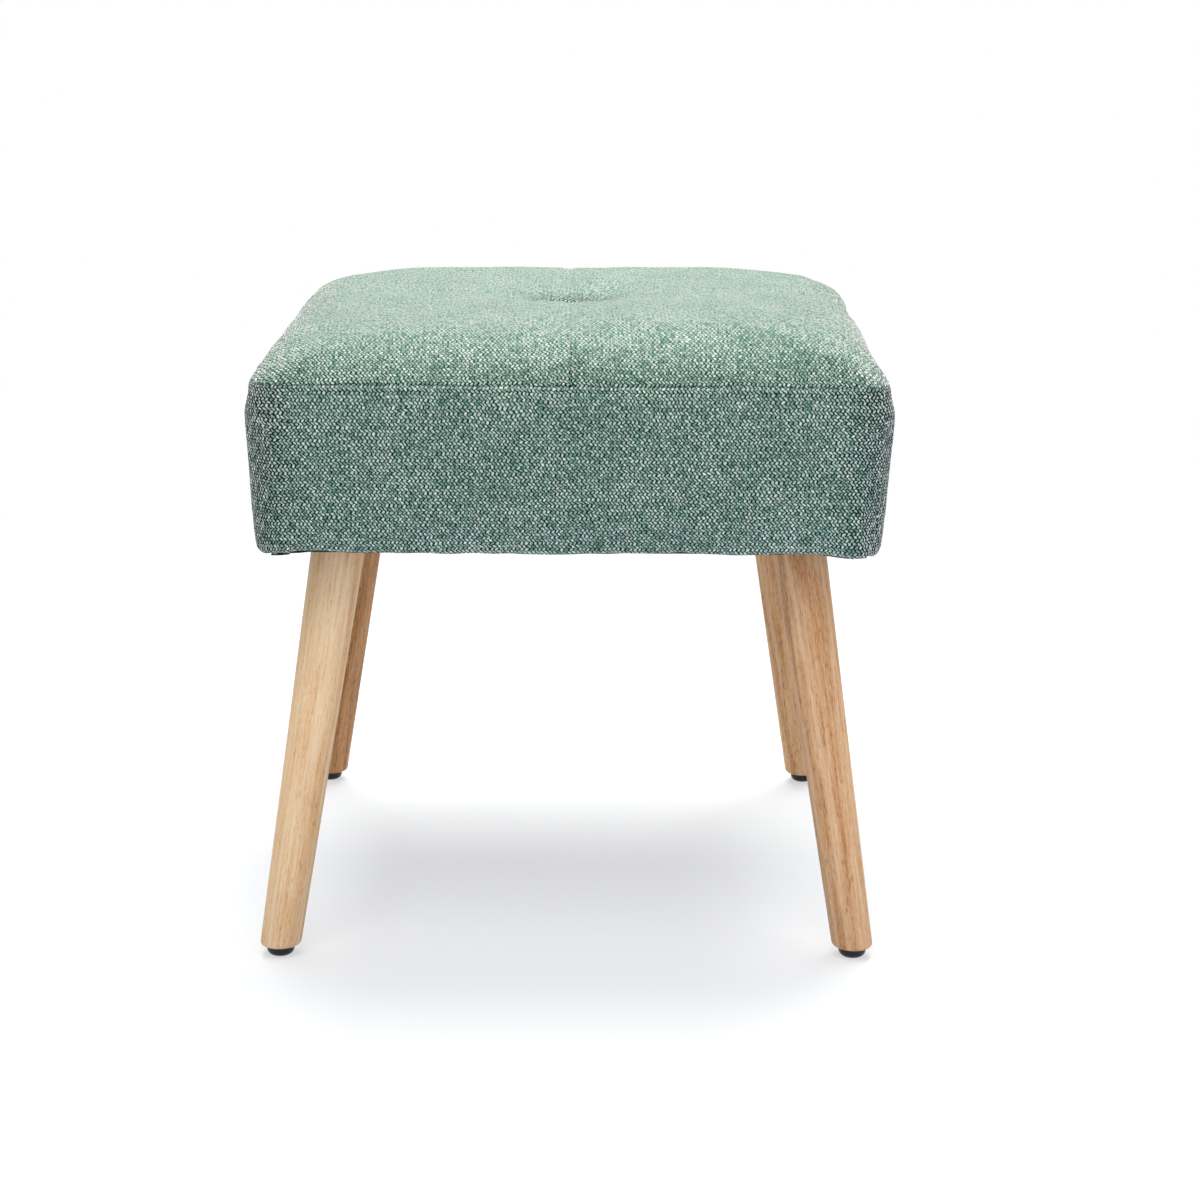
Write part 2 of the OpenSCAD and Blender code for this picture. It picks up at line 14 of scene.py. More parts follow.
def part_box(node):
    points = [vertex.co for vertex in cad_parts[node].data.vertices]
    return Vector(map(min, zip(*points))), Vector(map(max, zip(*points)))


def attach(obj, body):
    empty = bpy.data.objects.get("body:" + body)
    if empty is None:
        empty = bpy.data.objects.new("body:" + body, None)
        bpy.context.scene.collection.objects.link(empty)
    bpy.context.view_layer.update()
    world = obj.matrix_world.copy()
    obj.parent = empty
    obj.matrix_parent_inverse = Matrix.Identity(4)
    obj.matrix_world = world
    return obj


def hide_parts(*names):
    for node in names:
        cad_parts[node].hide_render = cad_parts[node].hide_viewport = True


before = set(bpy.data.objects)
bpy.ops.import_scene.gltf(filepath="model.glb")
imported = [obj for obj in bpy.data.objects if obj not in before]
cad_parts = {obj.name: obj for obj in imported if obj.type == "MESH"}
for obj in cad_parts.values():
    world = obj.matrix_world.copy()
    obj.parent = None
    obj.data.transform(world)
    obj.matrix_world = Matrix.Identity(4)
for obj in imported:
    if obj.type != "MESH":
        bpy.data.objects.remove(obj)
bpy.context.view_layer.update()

LOG = logging.getLogger("stool")

# Metres in a millimetre. The classes hold their sizes in millimetres.
MM = 0.001

WHITE = (1.0, 1.0, 1.0, 1.0)

# A node's output, or anything that an input takes
Socket = bpy.types.NodeSocket
Value = Socket | float | tuple

# The one body that everything rides on
BODY = "root"


class Corner(Enum):
    """The four corners of the stool, as signs of X and Y."""

    FRONT_LEFT = (-1, -1)
    FRONT_RIGHT = (1, -1)
    BACK_LEFT = (-1, 1)
    BACK_RIGHT = (1, 1)

    @property
    def label(self) -> str:
        """Name of the corner as the nodes write it."""
        return self.name.lower()


class Axis(Enum):
    """The direction that a piece of wood's grain runs in."""

    X = 0
    Y = 1
    Z = 2


# Small tools


def linear(colour: str) -> tuple[float, float, float, float]:
    """Turn an sRGB hex colour into linear values.

    Args:
        colour: Six hex digits after a #.

    Returns:
        Linear red, green and blue, and an alpha of 1.
    """
    channels = (int(colour[i:i + 2], 16) / 255 for i in (1, 3, 5))
    return (*(c / 12.92 if c <= 0.04045 else ((c + 0.055) / 1.055) ** 2.4 for c in channels), 1.0)


@dataclass(frozen=True)
class Graph:
    """The nodes of a material or of the world, with a short way to add each kind."""

    tree: bpy.types.NodeTree

    @classmethod
    def of(cls, owner: bpy.types.ID) -> "Graph":
        """Start the nodes of a material or of the world afresh."""
        owner.use_nodes = True
        owner.node_tree.nodes.clear()
        return cls(owner.node_tree)

    def add(self, kind: str, inputs: dict | None = None, out: int | str = 0, **settings: object) -> Socket:
        """Add a node with its settings and links.

        Args:
            kind: Blender's name for the kind of node, after ShaderNode.
            inputs: For each input, a value, or the socket that is linked to it.
            out: The output that is wanted.
            settings: Values of the node's own properties.

        Returns:
            The output socket, or the first input where the node has no output.
        """
        node = self.tree.nodes.new(f"ShaderNode{kind}")
        for name, value in settings.items():
            setattr(node, name, value)
        for name, value in (inputs or {}).items():
            if isinstance(value, Socket):
                self.tree.links.new(value, node.inputs[name])
            else:
                node.inputs[name].default_value = value
        return node.outputs[out] if len(node.outputs) else node.inputs[0]

    def total(self, start: Value, *parts: tuple[Value, Value]) -> Socket:
        """Add weighted values to a start.

        Args:
            start: What they are added to.
            parts: Each value and its weight.

        Returns:
            The sum.
        """
        for value, weight in parts:
            start = self.maths("MULTIPLY_ADD", value, weight, start)
        return start

    def maths(self, operation: str, *values: Value) -> Socket:
        """Work out a number from one to three others."""
        return self.add("Math", dict(enumerate(values)), operation=operation)

    def vectors(self, operation: str, *values: Value) -> Socket:
        """Work out a vector, or its length, from one to three others."""
        out = "Value" if operation == "LENGTH" else 0
        return self.add("VectorMath", dict(enumerate(values)), out, operation=operation)

    def noise(
        self, where: Socket, scale: float = 1.0, detail: float = 2.0, roughness: float = 0.5,
        out: str = "Fac", dimensions: str = "3D",
    ) -> Socket:
        """Add smooth noise.

        Args:
            where: Coordinates that it is read at.
            scale: Number of its features in one unit.
            detail: Number of finer layers.
            roughness: Strength of the finer layers.
            out: Fac for a number, Color for three.
            dimensions: 3D, or 2D on flat coordinates.

        Returns:
            The noise, from 0 to 1.
        """
        inputs = {"Vector": where, "Scale": scale, "Detail": detail, "Roughness": roughness}
        return self.add("TexNoise", inputs, out, noise_dimensions=dimensions)

    def noise_2d(self, where: Socket, **settings: float | str) -> Socket:
        """Add smooth noise on flat coordinates."""
        return self.noise(where, dimensions="2D", **settings)

    def ramp(
        self, value: Value, low: float = 0.0, high: float = 1.0, to_low: Value = 0.0, to_high: Value = 1.0,
        eased: bool = False,
    ) -> Socket:
        """Map a range of values to another one, and hold what lies beyond it.

        Args:
            value: What is mapped.
            low: Value that becomes to_low.
            high: Value that becomes to_high.
            to_low: One end of the new range.
            to_high: The other end.
            eased: Whether the ramp starts and ends gently.

        Returns:
            The mapped value.
        """
        inputs = {"Value": value, "From Min": low, "From Max": high, "To Min": to_low, "To Max": to_high}
        return self.add("MapRange", inputs, interpolation_type="SMOOTHSTEP" if eased else "LINEAR")

    def mix(self, share: Value, first: Value, second: Value) -> Socket:
        """Mix two numbers."""
        return self.add("Mix", {0: share, 2: first, 3: second}, data_type="FLOAT")

    def blend(self, share: Value, first: Socket | str, second: Socket | str) -> Socket:
        """Mix two colours, each one a socket or written in hex."""
        first, second = (linear(end) if isinstance(end, str) else end for end in (first, second))
        return self.add("Mix", {0: share, 6: first, 7: second}, 2, data_type="RGBA")

    def bump(self, strength: float, depth: float, height: Socket, invert: bool = False) -> Socket:
        """Tilt the surface by a height whose full range is a depth in millimetres."""
        inputs = {"Strength": strength, "Distance": depth * MM, "Height": height}
        return self.add("Bump", inputs, invert=invert)

    def counted(self, where: Socket, sizes: tuple[float, ...]) -> Socket:
        """Coordinates on which a size along each axis is one unit."""
        return self.vectors("MULTIPLY", where, tuple(1 / size for size in sizes))

    def place(self, sizes: tuple[float, float, float]) -> Socket:
        """Coordinates on the object, on which a size in millimetres along each axis is one unit."""
        return self.counted(self.add("TexCoord", out="Object"), tuple(size * MM for size in sizes))

    def seen(self) -> Socket:
        """1 for what is seen, mirrored or looked through, 0 for light that falls on things."""
        rays = self.add("LightPath").node.outputs
        seen = self.maths("MAXIMUM", rays["Is Camera Ray"], rays["Is Glossy Ray"])
        return self.maths("MAXIMUM", seen, rays["Is Transmission Ray"])


def link(name: str, data: bpy.types.ID) -> bpy.types.Object:
    """Put a mesh, lamp or camera into the scene as a new object."""
    made = bpy.data.objects.new(name, data)
    bpy.context.scene.collection.objects.link(made)
    return made


def add_mesh(name: str, points: np.ndarray, faces: list) -> bpy.types.Object:
    """Make an object from points and faces.

    Args:
        name: Name of the new object.
        points: Points in millimetres, one per row.
        faces: Point numbers of each face.

    Returns:
        The new object, linked to the scene.
    """
    mesh = bpy.data.meshes.new(name)
    mesh.from_pydata((points * MM).tolist(), [], [list(map(int, face)) for face in faces])
    mesh.validate()
    return link(name, mesh)


def pick(piece: bpy.types.Object) -> None:
    """Deselect everything, then select one piece and make it active."""
    bpy.ops.object.select_all(action="DESELECT")
    piece.select_set(True)
    bpy.context.view_layer.objects.active = piece


def apply_modifier(piece: bpy.types.Object, kind: str, **settings: object) -> None:
    """Put a modifier on a piece and apply it.

    Args:
        piece: The piece to change.
        kind: Blender's name for the kind of modifier.
        settings: Values of the modifier's properties.
    """
    pick(piece)
    modifier = piece.modifiers.new(kind.lower(), kind)
    for name, value in settings.items():
        setattr(modifier, name, value)
    bpy.ops.object.modifier_apply(modifier=modifier.name)


def smooth(piece: bpy.types.Object, degrees: float) -> None:
    """Shade a piece smooth, apart from edges sharper than an angle."""
    pick(piece)
    bpy.ops.object.shade_smooth_by_angle(angle=math.radians(degrees))


def edit_faces(piece: bpy.types.Object) -> None:
    """Go into edit mode with all faces of the active piece selected."""
    pick(piece)
    bpy.ops.object.mode_set(mode="EDIT")
    bpy.ops.mesh.select_mode(type="FACE")
    bpy.ops.mesh.select_all(action="SELECT")


def pull(way: Vector) -> None:
    """Extrude the selected faces along a way in millimetres."""
    bpy.ops.mesh.extrude_region_move(TRANSFORM_OT_translate={"value": tuple(way * MM)})


def bevel(width: float, segments: int) -> None:
    """Round the edges of the selected faces by a width in millimetres."""
    bpy.ops.mesh.bevel(offset=width * MM, segments=segments, affect="EDGES")


def heading(quarter: int) -> tuple[int, int]:
    """Direction after a number of quarter turns from +X, anticlockwise."""
    return ((1, 0), (0, 1), (-1, 0), (0, -1))[quarter]


def bell(distance: np.ndarray, width: float, power: int = 2) -> np.ndarray:
    """1 on the spot, fading to nothing beyond a width."""
    return np.exp(-(np.abs(distance) / width) ** power)


def travelled(line: np.ndarray) -> np.ndarray:
    """Distance of each point along a line of points, from its first."""
    return np.concatenate([[0], np.cumsum(np.linalg.norm(np.diff(line, axis=0), axis=-1))])


def closed(grid: np.ndarray, axis: int = 1) -> np.ndarray:
    """Repeat a grid's first line after its last one, so that it goes all the way round."""
    return np.append(grid, grid.take([0], axis), axis)


def grid_faces(numbers: np.ndarray) -> np.ndarray:
    """Quads between the neighbours of a grid of point numbers, wound from its first axis."""
    return np.stack(
        [numbers[:-1, :-1], numbers[1:, :-1], numbers[1:, 1:], numbers[:-1, 1:]], axis=-1
    ).reshape(-1, 4)


def grid_normals(grid: np.ndarray) -> np.ndarray:
    """Unit normals of a grid of points, wound from its first axis to its second."""
    return unit(np.cross(np.gradient(grid, axis=0), np.gradient(grid, axis=1)))


def unevenness(
    x: np.ndarray, y: np.ndarray, length: float, seed: int, count: int = 14
) -> np.ndarray:
    """Smooth unevenness of about unit height, as a sum of plane waves.

    Args:
        x: First coordinate of each point.
        y: Second coordinate of each point.
        length: Usual length of the waves.
        seed: Number that sets the waves' directions, lengths and phases.
        count: Number of waves.

    Returns:
        One value for each point.
    """
    rng = np.random.default_rng(seed)
    total = np.zeros(np.broadcast(x, y).shape)
    for turn, phase, stretch in rng.uniform((0, 0, 0.7), (2 * math.pi, 2 * math.pi, 1.5), (count, 3)):
        way = x * math.cos(turn) + y * math.sin(turn)
        total += np.sin(way * 2 * math.pi / (length * stretch) + phase)
    return total * math.sqrt(2 / count)


@dataclass(frozen=True)
class Ripple:
    """Small waves in cloth, by their depth, their usual length and a seed."""

    depth: float
    length: float
    seed: int

    def at(self, x: np.ndarray, y: np.ndarray) -> np.ndarray:
        """Height of the waves at each point."""
        return self.depth * unevenness(x, y, self.length, self.seed)

    def again(self, later: int) -> "Ripple":
        """The same kind of waves, laid out by a later seed."""
        return Ripple(self.depth, self.length, self.seed + later)


def unit(vectors: np.ndarray) -> np.ndarray:
    """Directions of some vectors, each of length 1."""
    return vectors / np.maximum(np.linalg.norm(vectors, axis=-1, keepdims=True), 1e-9)


def spline_weights(places: np.ndarray, count: int, wrap: bool) -> np.ndarray:
    """Weights that read a smooth curve off evenly numbered values.

    Args:
        places: Where the curve is read, as numbers between 0 and count.
        count: How many values there are.
        wrap: Whether the values go round in a loop.

    Returns:
        One row of weights for each place.
    """
    base = np.floor(places).astype(int)
    base = base if wrap else np.clip(base, 0, count - 2)
    u = places - base
    weights = (
        -0.5 * u + u ** 2 - 0.5 * u ** 3,
        1 - 2.5 * u ** 2 + 1.5 * u ** 3,
        0.5 * u + 2 * u ** 2 - 1.5 * u ** 3,
        -0.5 * u ** 2 + 0.5 * u ** 3,
    )
    table = np.zeros((len(places), count))
    for step, weight in enumerate(weights, -1):
        index = (base + step) % count if wrap else np.clip(base + step, 0, count - 1)
        np.add.at(table, (np.arange(len(places)), index), weight)
    return table


# Finishes


@dataclass(frozen=True)
class Finish:
    """A finish that becomes one material."""

    name: str
    slot: str

    def surface(self, graph: Graph) -> dict:
        """Build the finish's own nodes.

        Args:
            graph: The material's nodes.

        Returns:
            Values or sockets for the shader's inputs.
        """
        raise NotImplementedError

    def material(self) -> bpy.types.Material:
        """Return the finish's material, made the first time it is asked for."""
        known = bpy.data.materials.get(self.name)
        if known:
            return known
        material = bpy.data.materials.new(self.name)
        graph = Graph.of(material)
        shader = graph.add("BsdfPrincipled", self.surface(graph))
        graph.add("OutputMaterial", {"Surface": shader})
        return material

    def dress(self, piece: bpy.types.Object) -> None:
        """Give a new piece the finish."""
        piece.data.materials.clear()
        piece.data.materials.append(self.material())

    def dress_node(self, node: str) -> None:
        """Give a node of the construction model the finish."""
        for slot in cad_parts[node].material_slots:
            slot.material = self.material()

    def install(self, piece: bpy.types.Object, node: str = "") -> None:
        """Dress a new piece, and let it ride in the place of its construction node.

        Args:
            piece: The new piece.
            node: The node that it stands for, if there is one.
        """
        self.dress(piece)
        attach(piece, BODY)
        if node:
            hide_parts(node)
        LOG.info("%s: %d faces", piece.name, len(piece.data.polygons))


@dataclass(frozen=True)
class WovenCloth(Finish):
    """Plain-woven melange upholstery cloth of polyester chenille and slub yarns.

    A pale, fuzzy warp runs down over a darker green weft, so that the cells of the weave
    alternate like a chequerboard and dark pinholes show at their corners. The yarns are
    dyed unevenly, and their loose fibres catch light that comes from the side.
    """

    warp_pitch: float = 1.345
    weft_pitch: float = 2.05
    yarn_dark: str = "#568B75"
    yarn_light: str = "#ECF1ED"
    gap_dark: str = "#07241A"
    gap_light: str = "#32634F"
    patch_dark: str = "#CFDFD8"
    patch_light: str = "#FFFFFD"
    patch_size: float = 40.0
    # Length of the yarns' slow and quick bends, and how far each one moves them
    slow_bend: float = 22.0
    slow_reach: tuple[float, float, float] = (3.2, 3.2, 0)
    quick_bend: float = 3.2
    quick_reach: tuple[float, float, float] = (0.8, 0.7, 0)
    lean: float = 0.3
    thick_warp: float = 0.15
    weft_dip: float = 0.55
    # Slubs in one cell of the weave, across the cloth and down it, in warp and in weft
    warp_slub: tuple[float, float, float] = (0.95, 0.34, 0)
    weft_slub: tuple[float, float, float] = (0.16, 1.1, 0)
    fuzz_size: float = 0.32
    relief: float = 0.5
    sheen: float = 1.1
    sheen_tint: str = "#ECE4E8"

    def cells(self, graph: Graph, flat: Socket) -> Socket:
        """Coordinates that count the yarns, which wander over a few yarns and centimetres."""
        drift = graph.noise_2d(flat, scale=1 / self.slow_bend, detail=1.0, out="Color")
        jitter = graph.noise_2d(flat, scale=1 / self.quick_bend, detail=0.0, out="Color")
        drifted = graph.vectors("MULTIPLY_ADD", drift, self.slow_reach, flat)
        wandering = graph.vectors("MULTIPLY_ADD", jitter, self.quick_reach, drifted)
        return graph.vectors("MULTIPLY", wandering, (1 / self.warp_pitch, 1 / self.weft_pitch, 0))

    def weave(self, graph: Graph, cells: Socket) -> Socket:
        """Above 0 where a pale yarn is on top, well below 0 in the dark gap between yarns."""
        split = graph.add("SeparateXYZ", {0: cells}).node.outputs
        down = graph.maths("MULTIPLY", split[1], math.pi)
        # The pale yarn leans left and right by turns, from row to row
        leaning = graph.maths("MULTIPLY_ADD", graph.maths("COSINE", down), self.lean, split[0])
        across = graph.maths("MULTIPLY", leaning, math.pi)
        row, column = graph.maths("SINE", down), graph.maths("SINE", across)
        # Every second warp yarn is the thicker one, and the weft dips between its rows
        thicker = graph.maths("SINE", graph.maths("MULTIPLY", split[0], math.pi))
        dip = graph.maths("POWER", row, 2.0)
        over = graph.maths("MULTIPLY", column, row)
        return graph.total(over, (thicker, self.thick_warp), (dip, self.weft_dip))

    def patches(self, graph: Graph, flat: Socket, cells: Socket) -> Socket:
        """Tint of single yarns, paler or darker for much of their length, and of patches."""
        patch = graph.noise_2d(flat, scale=1 / self.patch_size)
        for along, strength in (((0.9, 0.025, 0), 0.6), ((0.025, 0.9, 0), 0.9)):
            line = graph.noise_2d(graph.vectors("MULTIPLY", cells, along), detail=1.0)
            patch = graph.total(patch, (line, strength))
        return graph.blend(graph.ramp(patch, 0.8, 1.7), self.patch_dark, self.patch_light)

    def surface(self, graph: Graph) -> dict:
        """Weave, melange and pinholes, on the cloth's own coordinates in millimetres.

        Args:
            graph: The material's nodes.

        Returns:
            The values of the surface's inputs, by their names.
        """
        flat = graph.add("UVMap", uv_map="weave")
        cells = self.cells(graph, flat)
        over = self.weave(graph, cells)
        # Slubs: each stretch of yarn is thicker or thinner, and more or less fuzzy
        slub = graph.noise_2d(graph.vectors("MULTIPLY", cells, self.warp_slub), roughness=0.6)
        streak = graph.noise_2d(graph.vectors("MULTIPLY", cells, self.weft_slub), roughness=0.6)
        fuzz = graph.noise_2d(flat, scale=1 / self.fuzz_size, detail=1.0)
        cell = graph.vectors("FLOOR", cells)
        odd = graph.add("TexWhiteNoise", {"Vector": cell}, "Value", noise_dimensions="2D")

        # The gaps open up where the cloth is strained, and close under thick yarns
        # This attribute also carries painted shade and painted light along the seams: it opens the dark
        # gaps there for shade and closes them for light
        strain = graph.add("Attribute", {}, "Fac", attribute_name="strain")
        opened = graph.maths("ADD", graph.total(over, (strain, -0.14), (slub, 0.5)), -0.34)
        # Pulled cloth shows its thick and thin stretches more
        pulled = graph.ramp(strain, high=3.0, to_high=4.5)
        opened = graph.total(opened, (graph.maths("SUBTRACT", slub, 0.5), pulled))
        slack = graph.ramp(strain, 0.0, -1.2, to_high=0.2)
        yarn = graph.mix(slack, graph.ramp(opened, -0.3, 0.5, eased=True), 1.0)

        # Melange: each cell differs, and so does each stretch of yarn
        yarn_tone = graph.ramp(graph.total(slub, (odd, 1.1), (fuzz, 1.5)), 1.1, 2.5)
        gap_tone = graph.ramp(graph.total(streak, (odd, 0.4), (strain, -0.5)), 0.5, 1.0)
        bright = graph.blend(yarn_tone, self.yarn_dark, self.yarn_light)
        dark = graph.blend(gap_tone, self.gap_dark, self.gap_light)
        woven = graph.blend(yarn, dark, bright)

        # The fuzz stands on the pale yarns, in tufts that are longer than they are wide
        tufts = graph.ramp(graph.total(slub, (odd, 0.3)), 0.53, 0.77, to_high=2.2 * self.sheen)
        tufts = graph.mix(graph.ramp(slack, high=0.2, to_low=0.65), self.sheen, tufts)
        in_gaps = graph.ramp(strain, high=1.5, to_low=0.5, to_high=0.15)
        on_yarn = graph.ramp(yarn, to_low=in_gaps, to_high=1.15)
        return {
            "Base Color": graph.vectors("MULTIPLY", woven, self.patches(graph, flat, cells)),
            "Roughness": 0.95,
            "Specular IOR Level": 0.15,
            "Sheen Weight": graph.maths("MULTIPLY", tufts, on_yarn),
            "Sheen Roughness": 0.33,
            "Sheen Tint": linear(self.sheen_tint),
            # Round yarns with sunk gaps between them, and fuzz on both
            "Normal": graph.bump(0.8, self.relief, graph.total(yarn, (over, 0.35), (fuzz, 0.5))),
        }


@dataclass(frozen=True)
class TurnedWood(Finish):
    """Turned rubberwood under a thin, clear, satin lacquer.

    The wood is pale and even, in cream to tan, with soft growth rings and long brown
    pores that show as dashes along the grain. The lacquer adds a soft highlight.
    """

    pale: str
    tan: str
    pore: str
    pores: float
    pith: tuple[float, float]
    start: float
    ring_pitch: float = 11.0

    def surface(self, graph: Graph) -> dict:
        """Rings, fibres and pores, on the leg's own coordinates in millimetres.

        Args:
            graph: The material's nodes.

        Returns:
            The values of the surface's inputs, by their names.
        """
        grain = graph.add("Attribute", {}, "Vector", attribute_name="grain")
        moved = graph.vectors("ADD", grain, (*self.pith, self.start))

        # Growth rings round a pith beside the leg, bent by slow waves along the grain
        bend = graph.noise(graph.counted(moved, (24, 24, 150)), out="Color")
        bent = graph.vectors("MULTIPLY_ADD", bend, (24, 24, 0), moved)
        radius = graph.vectors("LENGTH", graph.vectors("MULTIPLY", bent, (1, 1, 0)))
        ring = graph.maths("SINE", graph.maths("MULTIPLY", radius, 2 * math.pi / self.ring_pitch))

        # Fibres: streaks a millimetre wide, and the much shorter cells between them
        streak = graph.noise(graph.counted(moved, (2.2, 2.2, 60)), detail=4.0, roughness=0.7)
        flecks = graph.noise(graph.counted(moved, (0.9, 0.9, 5)), detail=3.0, roughness=0.65)
        mixed = graph.total(streak, (ring, 0.1), (flecks, 0.5))
        wood = graph.blend(graph.ramp(mixed, 0.52, 0.98), self.pale, self.tan)

        # Pores: short dashes that crowd in the darker wood, drawn a little wide to show
        pits = graph.noise(graph.counted(moved, (0.7, 0.7, 5.5)), detail=1.0)
        crowd = graph.total(pits, (mixed, 0.35))
        pore = graph.ramp(crowd, 0.86, 0.98, to_high=self.pores, eased=True)
        colour = graph.blend(pore, wood, self.pore)
        bump = graph.bump(0.35, 0.12, pore, invert=True)
        return {
            "Base Color": colour,
            "Roughness": 0.5,
            "IOR": 1.45,
            "Specular IOR Level": 0.22,
            "Coat Weight": 0.04,
            "Coat Roughness": 0.3,
            "Normal": bump,
        }


@dataclass(frozen=True)
class SawnPine(Finish):
    """Planed pine of the hidden frame, with no finish: straight brown latewood lines."""

    grain: Axis

    def surface(self, graph: Graph) -> dict:
        """Latewood lines and a fine saw-like nap along the grain.

        Args:
            graph: The material's nodes.

        Returns:
            The values of the surface's inputs, by their names.
        """
        sizes = [16.0, 16.0, 16.0]
        sizes[self.grain.value] = 420.0
        slow = graph.place(tuple(sizes))
        bend = graph.noise(slow)
        rings = graph.maths("MULTIPLY", bend, 46.0)
        wave = graph.maths("SINE", rings)
        late = graph.ramp(wave, -0.2, 1.0, eased=True)
        fine = [0.8, 0.8, 0.8]
        fine[self.grain.value] = 40.0
        nap = graph.noise(graph.place(tuple(fine)), detail=3.0)
        tone = graph.maths("MULTIPLY", late, nap)
        colour = graph.blend(tone, "#E6CFA4", "#B07C43")
        bump = graph.bump(0.4, 0.15, nap)
        return {"Base Color": colour, "Roughness": 0.7, "Specular IOR Level": 0.3, "Normal": bump}


@dataclass(frozen=True)
class BirchPlywood(Finish):
    """Birch plywood: rotary-cut face veneer, and thin plies that show at the edges."""

    ply: float = 1.5

    def surface(self, graph: Graph) -> dict:
        """Broad veneer figure on the faces and light and dark plies by height.

        Args:
            graph: The material's nodes.

        Returns:
            The values of the surface's inputs, by their names.
        """
        broad = graph.place((210.0, 34.0, 34.0))
        figure = graph.noise(broad, detail=5.0)
        face = graph.blend(figure, "#DDC08C", "#B98F56")
        level = graph.add("SeparateXYZ", {0: graph.place((1.0, 1.0, 2 * self.ply))}).node.outputs[2]
        band = graph.maths("FRACT", level)
        dark = graph.maths("GREATER_THAN", band, 0.5)
        upright = graph.add("NewGeometry", {}, "Normal")
        tilt = graph.add("SeparateXYZ", {0: upright}).node.outputs[2]
        flatness = graph.maths("ABSOLUTE", tilt)
        edge = graph.maths("LESS_THAN", flatness, 0.5)
        share = graph.maths("MULTIPLY", dark, edge)
        colour = graph.blend(share, face, "#8E6536")
        bump = graph.bump(0.3, 0.1, figure)
        return {"Base Color": colour, "Roughness": 0.65, "Specular IOR Level": 0.3, "Normal": bump}


@dataclass(frozen=True)
class FlexibleFoam(Finish):
    """Cut polyurethane foam: pale yellow, dull, with open cells about a millimetre wide."""

    def surface(self, graph: Graph) -> dict:
        """Open cells, and slow yellowing."""
        cells = graph.add(
            "TexVoronoi", {"Vector": graph.place((1.1, 1.1, 1.1)), "Scale": 1.0}, "Distance")
        age = graph.noise(graph.place((60.0, 60.0, 60.0)))
        ground = graph.blend(age, "#F0E7C4", "#E2D29C")
        colour = graph.blend(cells, "#CDBB83", ground)
        bump = graph.bump(0.7, 0.4, cells)
        return {"Base Color": colour, "Roughness": 0.95, "Specular IOR Level": 0.15, "Normal": bump}


@dataclass(frozen=True)
class ZincPlatedSteel(Finish):
    """Pressed or drawn steel, zinc plated: bright, faintly blue, finely spangled."""

    roughness: float = 0.32

    def surface(self, graph: Graph) -> dict:
        """Spangle in tone, and a fine orange peel."""
        spangle = graph.add(
            "TexVoronoi", {"Vector": graph.place((2.5, 2.5, 2.5)), "Scale": 1.0}, "Color")
        grey = graph.add("SeparateColor", {0: spangle})
        colour = graph.blend(grey, "#B4B9BF", "#CBD0D3")
        peel = graph.noise(graph.place((0.6, 0.6, 0.6)))
        rough = graph.ramp(peel, to_low=self.roughness - 0.07, to_high=self.roughness + 0.12)
        bump = graph.bump(0.12, 0.05, peel)
        return {"Base Color": colour, "Metallic": 1.0, "Roughness": rough, "Normal": bump}


@dataclass(frozen=True)
class MouldedPlastic(Finish):
    """Injection-moulded polyethylene, black, with a low gloss and faint scuffs."""

    colour: str = "#08080A"
    roughness: float = 0.16

    def surface(self, graph: Graph) -> dict:
        """Moulded skin with slightly uneven gloss."""
        scuff = graph.noise(graph.place((3.0, 3.0, 1.2)), detail=4.0)
        rough = graph.ramp(scuff, to_low=self.roughness - 0.06, to_high=self.roughness + 0.2)
        tone = graph.blend(scuff, self.colour, "#131416")
        bump = graph.bump(0.15, 0.05, scuff)
        return {
            "Base Color": tone,
            "Roughness": rough,
            "IOR": 1.51,
            "Specular IOR Level": 0.35,
            "Normal": bump,
        }


@dataclass(frozen=True)
class SpunbondFelt(Finish):
    """Black spunbonded polypropylene: thin, fibrous, embossed with small bonding points."""

    point_pitch: float = 1.6

    def surface(self, graph: Graph) -> dict:
        """Bonding points in rows, and loose fibres between them."""
        rows = {"Vector": graph.place((self.point_pitch,) * 3), "Scale": 1.0, "Randomness": 0.15}
        points = graph.add("TexVoronoi", rows, "Distance", distance="CHEBYCHEV")
        point = graph.ramp(points, 0.18, 0.32)
        fibres = graph.noise(graph.place((0.7, 2.2, 1.0)), detail=4.0, roughness=0.7)
        height = graph.maths("MULTIPLY_ADD", fibres, 0.6, point)
        colour = graph.blend(fibres, "#121315", "#303236")
        bump = graph.bump(0.6, 0.15, height)
        return {
            "Base Color": colour, "Roughness": 0.8, "Specular IOR Level": 0.3, "Sheen Weight": 0.15,
            "Normal": bump,
        }


@dataclass(frozen=True)
class WaxedTwine(Finish):
    """Laid polyester twine and sewing thread, dyed to the cloth and waxed."""

    colour: str = "#5F8577"

    def surface(self, graph: Graph) -> dict:
        """Fine fibres along the lay."""
        fibres = graph.noise(graph.place((0.25, 0.25, 0.8)), detail=3.0)
        colour = graph.blend(fibres, "#3E6255", self.colour)
        bump = graph.bump(0.5, 0.1, fibres)
        return {"Base Color": colour, "Roughness": 0.55, "Normal": bump}


CLOTH = WovenCloth("woven_melange_cloth", "cover_cloth")
FOAM = FlexibleFoam("polyurethane_foam", "foam")
TWINE = WaxedTwine("waxed_twine", "twine")
THREAD = WaxedTwine("sewing_thread", "twine", "#7E9F93")
FELT = SpunbondFelt("spunbond_dust_cloth", "dust_cloth")
STEEL = ZincPlatedSteel("zinc_plated_steel", "zinc_steel")
ANCHOR_PLASTIC = MouldedPlastic("moulded_anchor_plastic", "black_plastic", roughness=0.45)
GLIDE_PLASTIC = MouldedPlastic("moulded_glide_plastic", "glide_plastic")
PLYWOOD = BirchPlywood("birch_plywood", "plywood")
PINE_ACROSS = SawnPine("planed_pine_across", "frame_wood", Axis.X)
PINE_DEEP = SawnPine("planed_pine_deep", "frame_wood", Axis.Y)
PINE_UPRIGHT = SawnPine("planed_pine_blocks", "frame_wood", Axis.Z)
